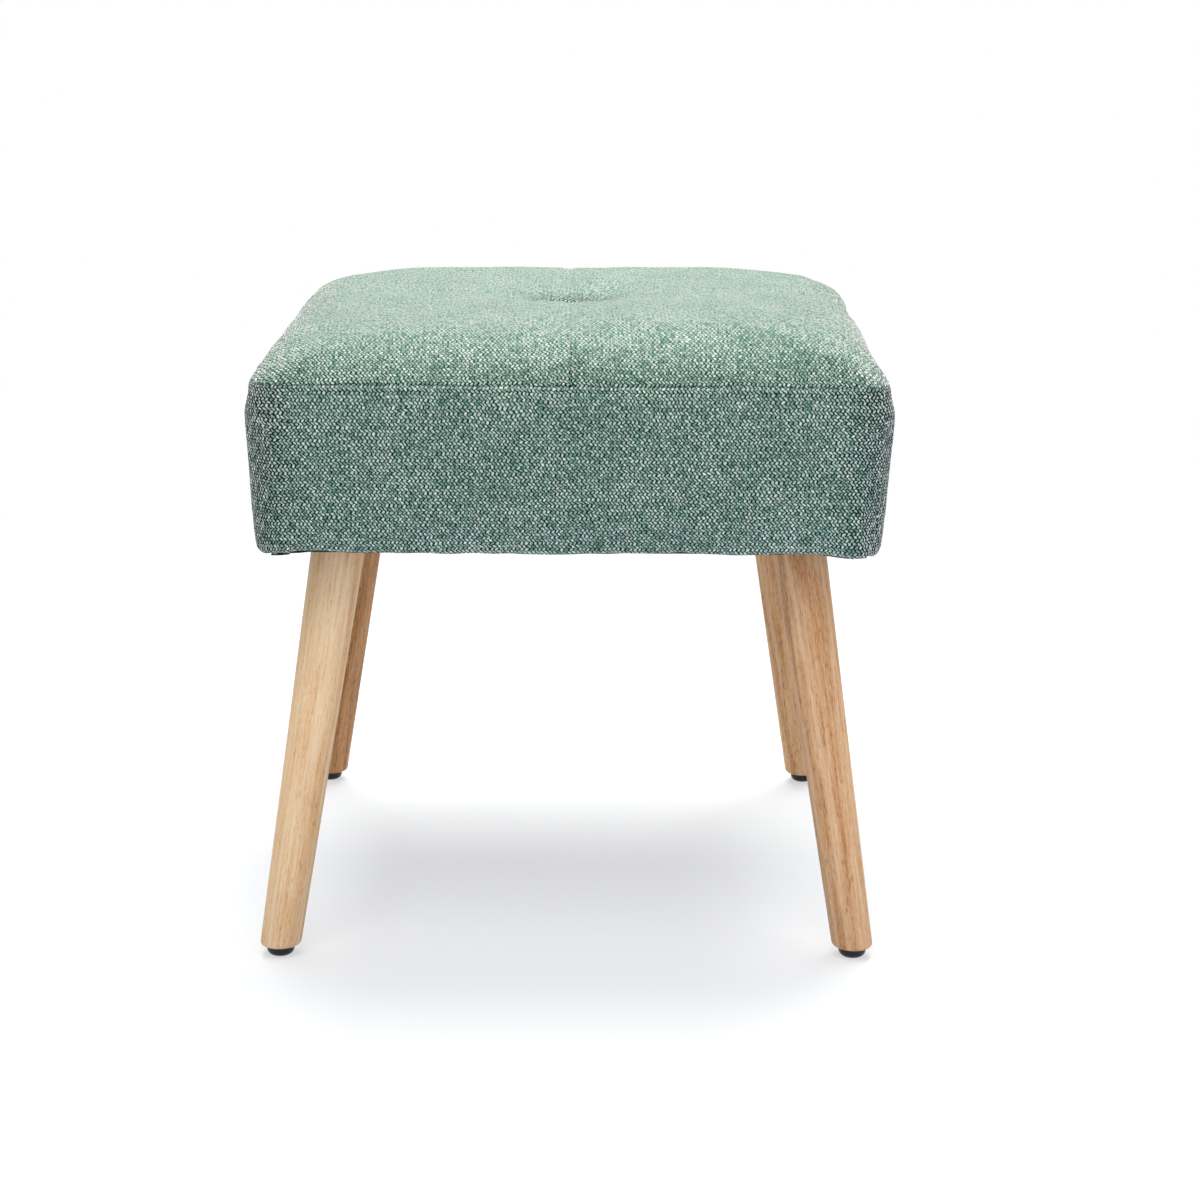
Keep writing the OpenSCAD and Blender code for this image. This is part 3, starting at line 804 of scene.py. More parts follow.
# Each leg has its own wood tone; the back left leg's darker tones are also painted shade of the seat
LEG_WOOD_AND_SHADE = {
    corner: TurnedWood(f"rubberwood_{corner.label}", "leg_wood", *look)
    for corner, look in zip(Corner, (
        ("#EDD0A8", "#D9A873", "#B06B38", 0.42, (52.0, 20.0), 40.0),
        ("#E0B990", "#BB8552", "#8C542A", 0.6, (34.0, -26.0), 900.0),
        # Back left: darker wood, with painted shade of the seat in its tones
        ("#D3A373", "#A46E3C", "#784622", 0.7, (-30.0, 44.0), 1900.0),
        ("#EAC093", "#C8925E", "#86502A", 0.6, (12.0, 18.0), 2800.0),
    ))
}


# The padded seat


@dataclass(frozen=True)
class SeatForm:
    """Outer form of the padded seat, before the cloth settles on it."""

    half: float
    underside: float
    seam: float
    crown: float = 34.3
    shoulder_runs: tuple[float, float, float, float] = (16.5, 24.0, 26.0, 13.0)
    corner_lifts: tuple[float, float, float, float] = (-6.4, 10.8, 0.6, -2.5)
    # Where the padding pushes the sides out: X, Y, the push and its reach along Y
    side_bulges: tuple[tuple[float, float, float, float], ...] = (
        (182.0, 66.0, 8.6, 50.0),
        (184.0, -42.0, 5.4, 44.0),
        (186.0, -92.0, 2.2, 30.0),
        (-186.0, -95.0, -1.8, 34.0),
    )
    bulge_width: float = 22.0
    bulge_from_seam: float = 6.0
    corner_r: float = 20.0
    corner_growth: float = 220.0
    # Share of the way out where the grid's own corners begin to turn round
    square_until: float = 0.6
    seam_inset: float = 2.5
    bulge_drop: float = 20.0
    draw_in: float = 4.8
    edge_r: float = 6.0
    turn_in: float = 26.0
    tuft_dip: float = 13.5
    tuft_spread: float = 25.0
    hollow: float = 5.0
    hollow_spread: float = 58.0
    valley: float = 0.15
    valley_spread: float = 10.0
    # Distance from a middle seam to where the run over the crown is measured
    beside_valley: float = 60.0
    profile_steps: int = 60

    @classmethod
    def from_frame(cls) -> "SeatForm":
        """Take the seat's outer sizes from the side band of the construction model."""
        low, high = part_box("side_band")
        return cls(half=high.x / MM, underside=low.z / MM, seam=high.z / MM)

    @property
    def seam_half(self) -> float:
        """Half the width across the top seam."""
        return self.half - self.seam_inset

    @property
    def seam_r(self) -> float:
        """Corner radius of the top seam."""
        return self.corner_r - self.seam_inset

    @property
    def turn(self) -> float:
        """Share of a half side, along the seam, at which its corner begins to turn."""
        straight = self.seam_half - self.seam_r
        return straight / (straight + self.seam_r * math.pi / 4)

    def ring_share(self, x: np.ndarray, y: np.ndarray) -> np.ndarray:
        """Share of the way out to the seam, on rings that grow rounder inwards.

        Args:
            x: Places along X.
            y: Places along Y.

        Returns:
            0 in the middle to 1 on the seam.
        """
        low, high = np.zeros_like(x), np.ones_like(x)
        for _ in range(32):
            share = (low + high) / 2
            half = self.seam_half * share
            r = np.minimum(self.seam_r + self.corner_growth * (1 - share), 0.95 * half)
            dx, dy = np.abs(x) - (half - r), np.abs(y) - (half - r)
            beyond = np.hypot(np.maximum(dx, 0), np.maximum(dy, 0)) + np.minimum(np.maximum(dx, dy), 0) - r
            low, high = np.where(beyond > 0, share, low), np.where(beyond > 0, high, share)
        return (low + high) / 2

    def height(self, x: np.ndarray, y: np.ndarray) -> np.ndarray:
        """Height of the crowned top, with its tuft and the valleys of its middle seams.

        The seat is filled by hand, so each quarter has its own shoulder and its own lift.
        """
        signs = [corner.value for corner in Corner]
        nearness = [(1 + sx * x / self.half) * (1 + sy * y / self.half) / 4 for sx, sy in signs]
        run = sum(near * size for near, size in zip(nearness, self.shoulder_runs))
        lift = sum(near ** 2 * size for near, size in zip(nearness, self.corner_lifts))
        climbed = 1 - np.exp((self.ring_share(x, y) - 1) * self.seam_half / run)
        valleys = bell(x, self.valley_spread) + bell(y, self.valley_spread)
        from_middle = np.hypot(x, y)
        tuft = self.tuft_dip * bell(from_middle, self.tuft_spread)
        tuft += self.hollow * bell(from_middle, self.hollow_spread)
        return self.seam + climbed * (self.crown + lift - self.valley * valleys) - tuft

    def side(
        self, t: np.ndarray, half: np.ndarray, r: np.ndarray, turn: np.ndarray
    ) -> tuple[np.ndarray, np.ndarray]:
        """Points of one side of a rounded square.

        Args:
            t: Place along the side, from -1 to 1, corner to corner.
            half: Half the square's width.
            r: Radius of its corners.
            turn: Place at which the corner begins.

        Returns:
            The distance out from the middle, and the distance along the side.
        """
        bend = np.clip((np.abs(t) - turn) / np.maximum(1 - turn, 1e-9), 0, 1) * math.pi / 4
        straight = np.minimum(np.abs(t) / turn, 1) * (half - r)
        return half - r + r * np.cos(bend), np.sign(t) * (straight + r * np.sin(bend))

    def top(self, lines: np.ndarray) -> np.ndarray:
        """Grid of points over the top.

        Args:
            lines: Places of the grid's lines, from -1 to 1, the same both ways.

        Returns:
            Points, by place along X and by place along Y.
        """
        a, b = np.meshgrid(lines, lines, indexing="ij")
        share = np.maximum(np.abs(a), np.abs(b))
        t = np.where(share > 0, np.minimum(np.abs(a), np.abs(b)) / np.maximum(share, 1e-9), 0)
        half = self.seam_half * share
        r = self.seam_r * np.clip((share - self.square_until) / (1 - self.square_until), 0, 1) ** 2
        turn = (half - r) / np.maximum(half - r + r * math.pi / 4, 1e-9)
        out, along = self.side(t, half, r, np.maximum(turn, 1e-9))
        wide = np.abs(a) >= np.abs(b)
        x = np.sign(a) * np.where(wide, out, along)
        y = np.sign(b) * np.where(wide, along, out)
        z = self.height(x, y)
        # The padding pushes the sides out here and there
        push = sum(
            size * bell(x - at_x, self.bulge_width) * bell(y - at_y, reach)
            for at_x, at_y, size, reach in self.side_bulges)
        push = push * (1 - np.exp((share - 1) * self.seam_half / self.bulge_from_seam))
        return np.stack([x + push, y, z + np.abs(push) / 2], axis=-1)

    def rise(self) -> tuple[np.ndarray, np.ndarray]:
        """Distance over the cloth from the middle to the seam, beside the valley.

        Returns:
            Places from 0 to 1, and the distance over the cloth at each.
        """
        places = np.linspace(0, 1, 800)
        x = places * self.seam_half
        z = self.height(x, np.full_like(x, self.beside_valley))
        return places, travelled(np.stack([x, z], axis=-1))

    def profile(self) -> np.ndarray:
        """Profile of the side band, from the seam down and in under the seat.

        Returns:
            Distance outside the widest line, height and distance over the cloth.
        """
        bulge = self.seam - self.bulge_drop
        edge = self.underside + self.edge_r
        u = np.linspace(0, 1, self.profile_steps)
        quarter = u * math.pi / 2
        out = np.concatenate([
            -self.seam_inset * (1 - u) ** 2,
            -self.draw_in * u[1:] ** 1.3,
            -self.draw_in - self.edge_r * (1 - np.cos(quarter[1:])),
            -self.draw_in - self.edge_r - (self.turn_in - self.draw_in - self.edge_r) * u[1:],
        ])
        z = np.concatenate([
            self.seam - self.bulge_drop * u,
            bulge + (edge - bulge) * u[1:],
            edge - self.edge_r * np.sin(quarter[1:]),
            np.full(len(u) - 1, self.underside),
        ])
        return np.column_stack([out, z, travelled(np.stack([out, z], axis=-1))])

    def band(self, lines: np.ndarray, rows: np.ndarray) -> np.ndarray:
        """Grid of points round the side band, anticlockwise from the right front corner.

        Args:
            lines: Places of the columns along each side, from -1 to 1.
            rows: Distances of the rows over the cloth, from the seam.

        Returns:
            Points, by row and by column.
        """
        profile = self.profile()
        out = np.interp(rows, profile[:, 2], profile[:, 0])[:, None]
        z = np.interp(rows, profile[:, 2], profile[:, 1])[:, None]
        r = np.maximum(self.corner_r + out, 2)
        away, along = self.side(lines[None, :-1], self.half + out, r, self.turn)
        sides = []
        for quarter in range(4):
            c, s = heading(quarter)
            x, y = c * away - s * along, s * away + c * along
            sides.append(np.stack([x, y, np.broadcast_to(z, x.shape)], axis=-1))
        return np.concatenate(sides, axis=1)


@dataclass
class Cover:
    """Cloth cover of the seat: four top panels and a side band, sewn with thread."""

    form: SeatForm
    thickness: float = 2.0
    step: float = 2.6
    close_rows: tuple[float, ...] = (0.5, 1.1, 1.9, 3.0, 4.6)
    trial_step: float = 5.6
    pressure: float = 4.0
    settle_cap: float = 1.1
    settle_frames: int = 20
    groove: float = 0.6
    groove_width: float = 0.8
    valley_groove: float = 0.5
    belly: float = 2.8
    belly_down: float = 22.0
    # The stitches' uneven pull, and the small waves beside them
    pucker: Ripple = Ripple(0.3, 9.0, 3)
    valley_pucker: Ripple = Ripple(0.3, 9.0, 5)
    band_pucker: Ripple = Ripple(0.3, 9.0, 31)
    valley_ripple: Ripple = Ripple(0.14, 8.0, 15)
    valley_ripple_reach: float = 7.0
    clear_of_stitches: float = 3.0
    crown_waves: Ripple = Ripple(0.35, 70.0, 21)
    seam_ripple: Ripple = Ripple(0.16, 8.0, 33)
    side_waves: Ripple = Ripple(0.4, 80.0, 35)
    edge_ripple: Ripple = Ripple(0.3, 26.0, 37)
    ripple_reach: float = 9.0
    waves_start: float = 20.0
    least_strained: float = 0.2
    # Pleats round the tuft, as waves: how many go round, where they start, their share
    pleat_waves: tuple[tuple[float, float, float], ...] = (
        (9, 1.1, 1.0), (14, 0.4, 0.6), (5, 0.0, 0.4))
    pleat: float = 0.28
    pleats_at: float = 17.0
    pleat_reach: float = 10.0
    fold_lines: tuple[float, ...] = (-19.0, -8.0, 9.0, 20.0)
    fold_width: float = 1.9
    fold_depth: float = 0.9
    fold_start: float = 4.0
    # How much lower the cloth hangs at the corners, and over what distances
    corner_drop: float = 1.5
    corner_reach: float = 26.0
    corner_rise: float = 16.0
    flat_corner: float = 55.0
    hole: float = 1.25
    # How far the cloth is slack on the crown, how far it is strained at the tuft, at the needle holes of
    # the seams and at the corners, how dark the painted shade along the top's seam is, how pale the painted
    # light under the band's seam is, and over what distances
    slack: float = 1.2
    slack_run: float = 27.0
    tuft_strain: float = 2.6
    tuft_reach: float = 28.0
    painted_seam_shade: float = 0.6
    rim_width: float = 0.7
    needle_strain: float = 1.4
    needle_width: float = 1.3
    needle_run: float = 18.0
    corner_strain_reach: float = 20.0
    painted_light_under_seam: float = 0.15
    strain_run: float = 22.0
    # Painted shade in the band's seam, a painted highlight on the fold just under it, and painted shade
    # again below that: for each, how far it opens or closes the weave's gaps, its distance from the seam
    # and its width
    seam_shade_and_highlight: tuple[tuple[float, float, float], ...] = (
        (1.0, 0.0, 0.6), (-0.9, 1.4, 0.6), (0.8, 3.0, 1.0))
    most_strain: float = 3.0
    most_band_strain: float = 2.5
    allowance: float = 10.0
    # Distance between the panels' places in the weave, so that no two are alike
    lay_apart: float = 317.3
    lines: np.ndarray = field(init=False)
    rows: np.ndarray = field(init=False)
    top: np.ndarray = field(init=False)
    band: np.ndarray = field(init=False)

    def spread(self, total: float, step: float, close: tuple[float, ...], both: bool) -> np.ndarray:
        """Distances of lines over a length of cloth, closer together beside seams.

        Args:
            total: Length of the cloth.
            step: Usual distance between lines.
            close: Distances of the close lines from the seam.
            both: Whether there is a seam at the far end too.

        Returns:
            Distances from 0 to total.
        """
        near = [0.0, *close]
        far = [total - d for d in reversed(near)] if both else [total]
        count = max(2, round((far[0] - near[-1]) / step) + 1)
        return np.array(near + list(np.linspace(near[-1], far[0], count)[1:-1]) + far)

    def grid_lines(self, step: float, close: tuple[float, ...]) -> np.ndarray:
        """Places of the top's grid lines, from -1 to 1, even over the cloth."""
        places, over = self.form.rise()
        half = np.interp(self.spread(over[-1], step, close, True), over, places)
        return np.concatenate([-half[:0:-1], half])

    def band_rows(self, step: float, close: tuple[float, ...]) -> np.ndarray:
        """Distances of the band's rows from the seam, closer on the bottom edge."""
        over = self.form.profile()[:, 2]
        edge = over[-1] - (self.form.turn_in - self.form.draw_in)
        upper = self.spread(edge, step, close, False)
        lower = np.linspace(edge, over[-1], max(6, round((over[-1] - edge) / (0.5 * step)) + 1))
        return np.concatenate([upper[:-1], lower])

    def settle(self) -> None:
        """Blow the cover up against its seams, as the padding under it does, and keep the
        shape that it takes. Each point moves by no more than settle_cap."""
        lines = self.grid_lines(self.trial_step, ())
        rows = self.band_rows(self.trial_step, ())
        top, band = self.form.top(lines), self.form.band(lines, rows)
        moves = self.press_out(top, band, lines)
        reach = np.linalg.norm(moves, axis=-1, keepdims=True)
        moves = moves * self.settle_cap * np.tanh(reach / self.settle_cap) / np.maximum(reach, 1e-9)
        count = len(lines)
        over_top, over_band = moves[:count * count], moves[count * count:]
        over_top = over_top.reshape(count, count, 3)
        over_band = np.concatenate([
            over_top[self.rim(count)][None], over_band.reshape(len(rows) - 1, 4 * (count - 1), 3)])
        across = spline_weights(np.interp(self.lines, lines, np.arange(count)), count, False)
        self.top += np.einsum("ik,klc,jl->ijc", across, over_top, across, optimize=True)
        down = spline_weights(np.interp(self.rows, rows, np.arange(len(rows))), len(rows), False)
        places = np.concatenate([
            np.interp(self.lines[:-1], lines, np.arange(count)) + side * (count - 1) for side in range(4)])
        around = spline_weights(places, 4 * (count - 1), True)
        self.band += np.einsum("ik,klc,jl->ijc", down, over_band, around, optimize=True)
        LOG.info("cover settled, mean move %.2f mm", float(np.mean(np.linalg.norm(moves, axis=-1))))

    def rim(self, count: int) -> tuple[np.ndarray, np.ndarray]:
        """Grid places of the top's outermost points, in the band's order."""
        up = np.arange(count - 1)
        down = np.arange(count - 1, 0, -1)
        last, first = np.full(count - 1, count - 1), np.zeros(count - 1, int)
        return np.concatenate([last, down, first, up]), np.concatenate([up, last, down, first])

    def press_out(self, top: np.ndarray, band: np.ndarray, lines: np.ndarray) -> np.ndarray:
        """Run the cloth simulation on a coarse copy of the cover.

        Args:
            top: Points over the top.
            band: Points of the band, the first row on the seam.
            lines: Places of the top's grid lines.

        Returns:
            How far each point moved, the top's first and then the band's below the seam.
        """
        count = len(lines)
        points = np.concatenate([top.reshape(-1, 3), band[1:].reshape(-1, 3)])
        numbers = np.arange(count * count).reshape(count, count)
        ring = numbers[self.rim(count)]
        below = np.arange(count * count, len(points)).reshape(len(band) - 1, -1)
        wall = np.concatenate([ring[None], below])
        faces = np.concatenate([grid_faces(numbers), grid_faces(closed(wall))])
        trial = add_mesh("cover_trial", points, faces)
        a, b = np.meshgrid(lines, lines, indexing="ij")
        sewn = (np.abs(a) < 1e-6) | (np.abs(b) < 1e-6) | (np.maximum(np.abs(a), np.abs(b)) > 1 - 1e-6)
        near_tuft = np.hypot(top[..., 0], top[..., 1]) < 0.4 * self.form.tuft_spread
        low = band[1:, :, 2] < self.form.underside + 0.3 * self.form.edge_r
        held = np.flatnonzero(np.concatenate([(sewn | near_tuft).ravel(), low.ravel()]))
        group = trial.vertex_groups.new(name="held")
        group.add(held.tolist(), 1.0, "REPLACE")
        cloth = trial.modifiers.new("press", "CLOTH")
        settings = {
            "quality": 6, "mass": 0.35, "tension_stiffness": 20, "compression_stiffness": 20,
            "shear_stiffness": 8, "bending_stiffness": 0.6, "shrink_min": -0.006,
            "use_pressure": True, "uniform_pressure_force": self.pressure,
            "vertex_group_mass": group.name,
        }
        for name, value in settings.items():
            setattr(cloth.settings, name, value)
        cloth.settings.effector_weights.gravity = 0
        cloth.point_cache.frame_start, cloth.point_cache.frame_end = 1, self.settle_frames
        scene = bpy.context.scene
        for frame in range(1, self.settle_frames + 1):
            scene.frame_set(frame)
        shaped = trial.evaluated_get(bpy.context.evaluated_depsgraph_get()).to_mesh()
        after = np.empty(3 * len(points))
        shaped.vertices.foreach_get("co", after)
        mesh = trial.data
        bpy.data.objects.remove(trial)
        bpy.data.meshes.remove(mesh)
        scene.frame_set(1)
        return after.reshape(-1, 3) / MM - points

    def hand_shape(self) -> None:
        """Sewn grooves, puckers, pleats and the small unevenness of a hand-filled seat."""
        form = self.form
        x, y = self.top[..., 0].copy(), self.top[..., 1].copy()
        normals = grid_normals(self.top)
        places, over = form.rise()
        share = np.maximum.outer(np.abs(self.lines), np.abs(self.lines))
        from_seam = over[-1] - np.interp(share, places, over)
        radius, angle = np.hypot(x, y), np.arctan2(y, x)

        along_rim = np.where(np.abs(x) > np.abs(y), y, x)
        move = -self.groove * self.uneven_pull(self.pucker, along_rim) * bell(from_seam, self.groove_width)
        clear = 1 - np.exp(-from_seam / self.clear_of_stitches)
        least = self.least_strained
        strained = least + (1 - least) * np.exp(-from_seam / self.strain_run)
        for across, along, later in ((x, y, 0), (y, x, 2)):
            pucker, ripple = self.valley_pucker.again(later), self.valley_ripple.again(later)
            depth = self.valley_groove * self.uneven_pull(pucker, along) * strained
            move -= depth * bell(across, self.groove_width) * clear
            near = np.exp(-np.abs(across) / self.valley_ripple_reach) * clear
            move += ripple.at(along, across * 0.25) * near
        pleats = sum(part * np.cos(count * angle + start) for count, start, part in self.pleat_waves)
        move += self.pleat * pleats * bell(radius - self.pleats_at, self.pleat_reach)
        move += self.crown_waves.at(x, y) * (1 - np.exp(-from_seam / self.waves_start))
        self.top += normals * move[..., None]

        normals = self.band_normals()
        around = self.around()
        down = self.rows[:, None] + 0 * around
        corner = self.from_corner()
        bottom = self.rows[-1] - (form.turn_in - form.draw_in)
        move = -self.groove * self.uneven_pull(self.band_pucker, around) * bell(down, self.groove_width)
        move += self.seam_ripple.at(around, down * 0.3) * np.exp(-down / self.ripple_reach)
        move += self.side_waves.at(around, down) * np.clip(down / self.waves_start, 0, 1)
        move += self.edge_ripple.at(around, down * 0.4) * np.exp(-np.abs(down - bottom) / self.ripple_reach)
        # The sides are fullest in their middles, some way under the seam
        fill = 1 - bell(corner, self.flat_corner)
        move += self.belly * fill * down / self.belly_down * np.exp(1 - down / self.belly_down)
        self.band += normals * move[..., None]
        # The cloth is folded under at the corners, so it is thicker there and hangs lower
        under = np.clip((down - bottom + self.corner_rise) / self.corner_rise, 0, 1)
        folds = sum(bell(corner - at, self.fold_width) for at in self.fold_lines)
        folds = self.fold_depth * folds * np.clip((down - bottom) / self.fold_start, 0, 1)
        self.band[..., 2] -= (self.corner_drop * bell(corner, self.corner_reach, 4) + folds) * under

        rim = self.rim(len(self.lines))
        seam = (self.top[rim] + self.band[0]) / 2
        self.top[rim], self.band[0] = seam, seam

    def uneven_pull(self, pucker: Ripple, along: np.ndarray) -> np.ndarray:
        """Uneven pull of the stitches along a seam, about 1."""
        return 1 + pucker.at(along, 0 * along)

    def band_normals(self) -> np.ndarray:
        """Outward normals of the band's points."""
        looped = np.concatenate([self.band[:, -1:], self.band, self.band[:, :1]], axis=1)
        return grid_normals(looped)[:, 1:-1]

    def around(self) -> np.ndarray:
        """Distance of each column round the widest line, as one row."""
        return travelled(self.form.band(self.lines, np.array([self.form.bulge_drop]))[0])[None]

    def from_corner(self) -> np.ndarray:
        """Signed distance of each column from the nearest upright corner, as one row."""
        widest = self.form.band(self.lines, np.array([self.form.bulge_drop]))[0]
        side = travelled(closed(widest, 0))[-1] / 4
        return (self.around() + side / 2) % side - side / 2

    def cut(
        self, node: str, points: np.ndarray, faces: np.ndarray, lay: np.ndarray, strain: np.ndarray
    ) -> bpy.types.Object:
        """Make one piece of the cover.

        Args:
            node: The construction node that it stands for.
            points: Grid of points.
            faces: Faces, as numbers of the points in the flattened grid.
            lay: The cloth's own coordinates at each face's corners.
            strain: How far the cloth is slack or strained at each point, with painted shade and painted
                light along the seams, from -1.2 to 3.

        Returns:
            The piece, with the cloth's thickness inside its outer face.
        """
        piece = add_mesh(f"cloth_{node}", points.reshape(-1, 3), faces)
        mesh = piece.data
        mesh.uv_layers.new(name="weave").data.foreach_set("uv", lay.ravel())
        level = mesh.attributes.new("strain", "FLOAT", "POINT")
        level.data.foreach_set("value", np.ascontiguousarray(strain).ravel())
        apply_modifier(piece, "SOLIDIFY", thickness=self.thickness * MM, offset=-1.0)
        smooth(piece, 55)
        CLOTH.install(piece, node)
        return piece

    def build(self) -> None:
        self.lines = self.grid_lines(self.step, self.close_rows)
        self.rows = self.band_rows(self.step, self.close_rows)
        self.top, self.band = self.form.top(self.lines), self.form.band(self.lines, self.rows)
        self.settle()
        self.hand_shape()
        self.build_panels()
        self.build_band()

    def build_panels(self) -> None:
        """Cut the top into its four panels, each with its own lay of the weave."""
        middle = len(self.lines) // 2
        steps_x = np.linalg.norm(np.diff(self.top, axis=0), axis=-1)
        steps_y = np.linalg.norm(np.diff(self.top, axis=1), axis=-1)
        over_x = np.concatenate([np.zeros((1, len(self.lines))), np.cumsum(steps_x, axis=0)])
        over_y = np.concatenate([np.zeros((len(self.lines), 1)), np.cumsum(steps_y, axis=1)], axis=1)
        over_x -= over_x[middle]
        over_y -= over_y[:, middle:middle + 1]
        for order, corner in enumerate(Corner):
            wide = slice(middle, None) if corner.value[0] > 0 else slice(None, middle + 1)
            deep = slice(middle, None) if corner.value[1] > 0 else slice(None, middle + 1)
            points = self.top[wide, deep]
            numbers = grid_faces(np.arange(points[..., 0].size).reshape(points.shape[:2]))
            centre = points.reshape(-1, 3)[numbers].mean(axis=1)
            numbers = numbers[np.hypot(centre[:, 0], centre[:, 1]) > self.hole]
            cloth = np.stack([over_x[wide, deep], over_y[wide, deep]], axis=-1)
            lay = (cloth + self.lay_apart * (order + 1)).reshape(-1, 2)[numbers]
            strain = self.strain_on_top(over_x, over_y)[wide, deep]
            piece = self.cut(f"panel_{corner.label}", points, numbers, lay, strain)

    def strain_on_top(self, over_x: np.ndarray, over_y: np.ndarray) -> np.ndarray:
        """Strain round the tuft and at the needle holes of the middle seams' steep ends, and painted shade
        along the seam round the top.

        Args:
            over_x: Distance of each point over the cloth from the middle, along X.
            over_y: The same along Y.

        Returns:
            Strain at each point of the top: below 0 where the cloth is slack, up to 3.
        """
        x, y = self.top[..., 0], self.top[..., 1]
        from_rim = self.form.seam_half - np.maximum(np.abs(x), np.abs(y))
        slack = -self.slack * (1 - np.exp(-from_rim / self.slack_run))
        ring = self.tuft_strain * bell(np.hypot(x, y), self.tuft_reach, 3)
        # Painted shade along the seam round the top
        rim = self.painted_seam_shade * bell(from_rim, self.rim_width)
        holes = sum(self.needle_strain * bell(across, self.needle_width) for across in (over_x, over_y))
        near = np.exp(-from_rim / self.needle_run)
        return np.clip(slack + ring + rim + near * holes, -self.slack, self.most_strain)

    def build_band(self) -> None:
        """Close the band round the sides, with its weave upright."""
        rows, count = self.band.shape[:2]
        numbers = np.arange(rows * count).reshape(rows, count)
        faces = grid_faces(closed(numbers))
        around = self.around()[0]
        length = around[-1] + np.linalg.norm(self.band[0, 0] - self.band[0, -1])
        # Each face's corners are taken from the unjoined grid, so that the last column closes
        unjoined = grid_faces(np.arange(rows * (count + 1)).reshape(rows, count + 1))
        places = np.broadcast_arrays(np.append(around, length), -self.rows[:, None])
        lay = np.stack(places, axis=-1).reshape(-1, 2)[unjoined]
        down = self.rows[:, None]
        strain = bell(self.from_corner(), self.corner_strain_reach)
        # Painted light: the band is a little paler just under its seam, where light from above falls on it
        strain = strain - self.painted_light_under_seam * np.exp(-down / self.strain_run)
        # Painted shade in the seam, a painted highlight on the fold under it, and painted shade below that
        for size, at, width in self.seam_shade_and_highlight:
            strain = strain + size * bell(down - at, width)
        strain = np.clip(strain, -self.slack, self.most_band_strain)
        piece = self.cut("side_band", self.band, faces, lay, strain)


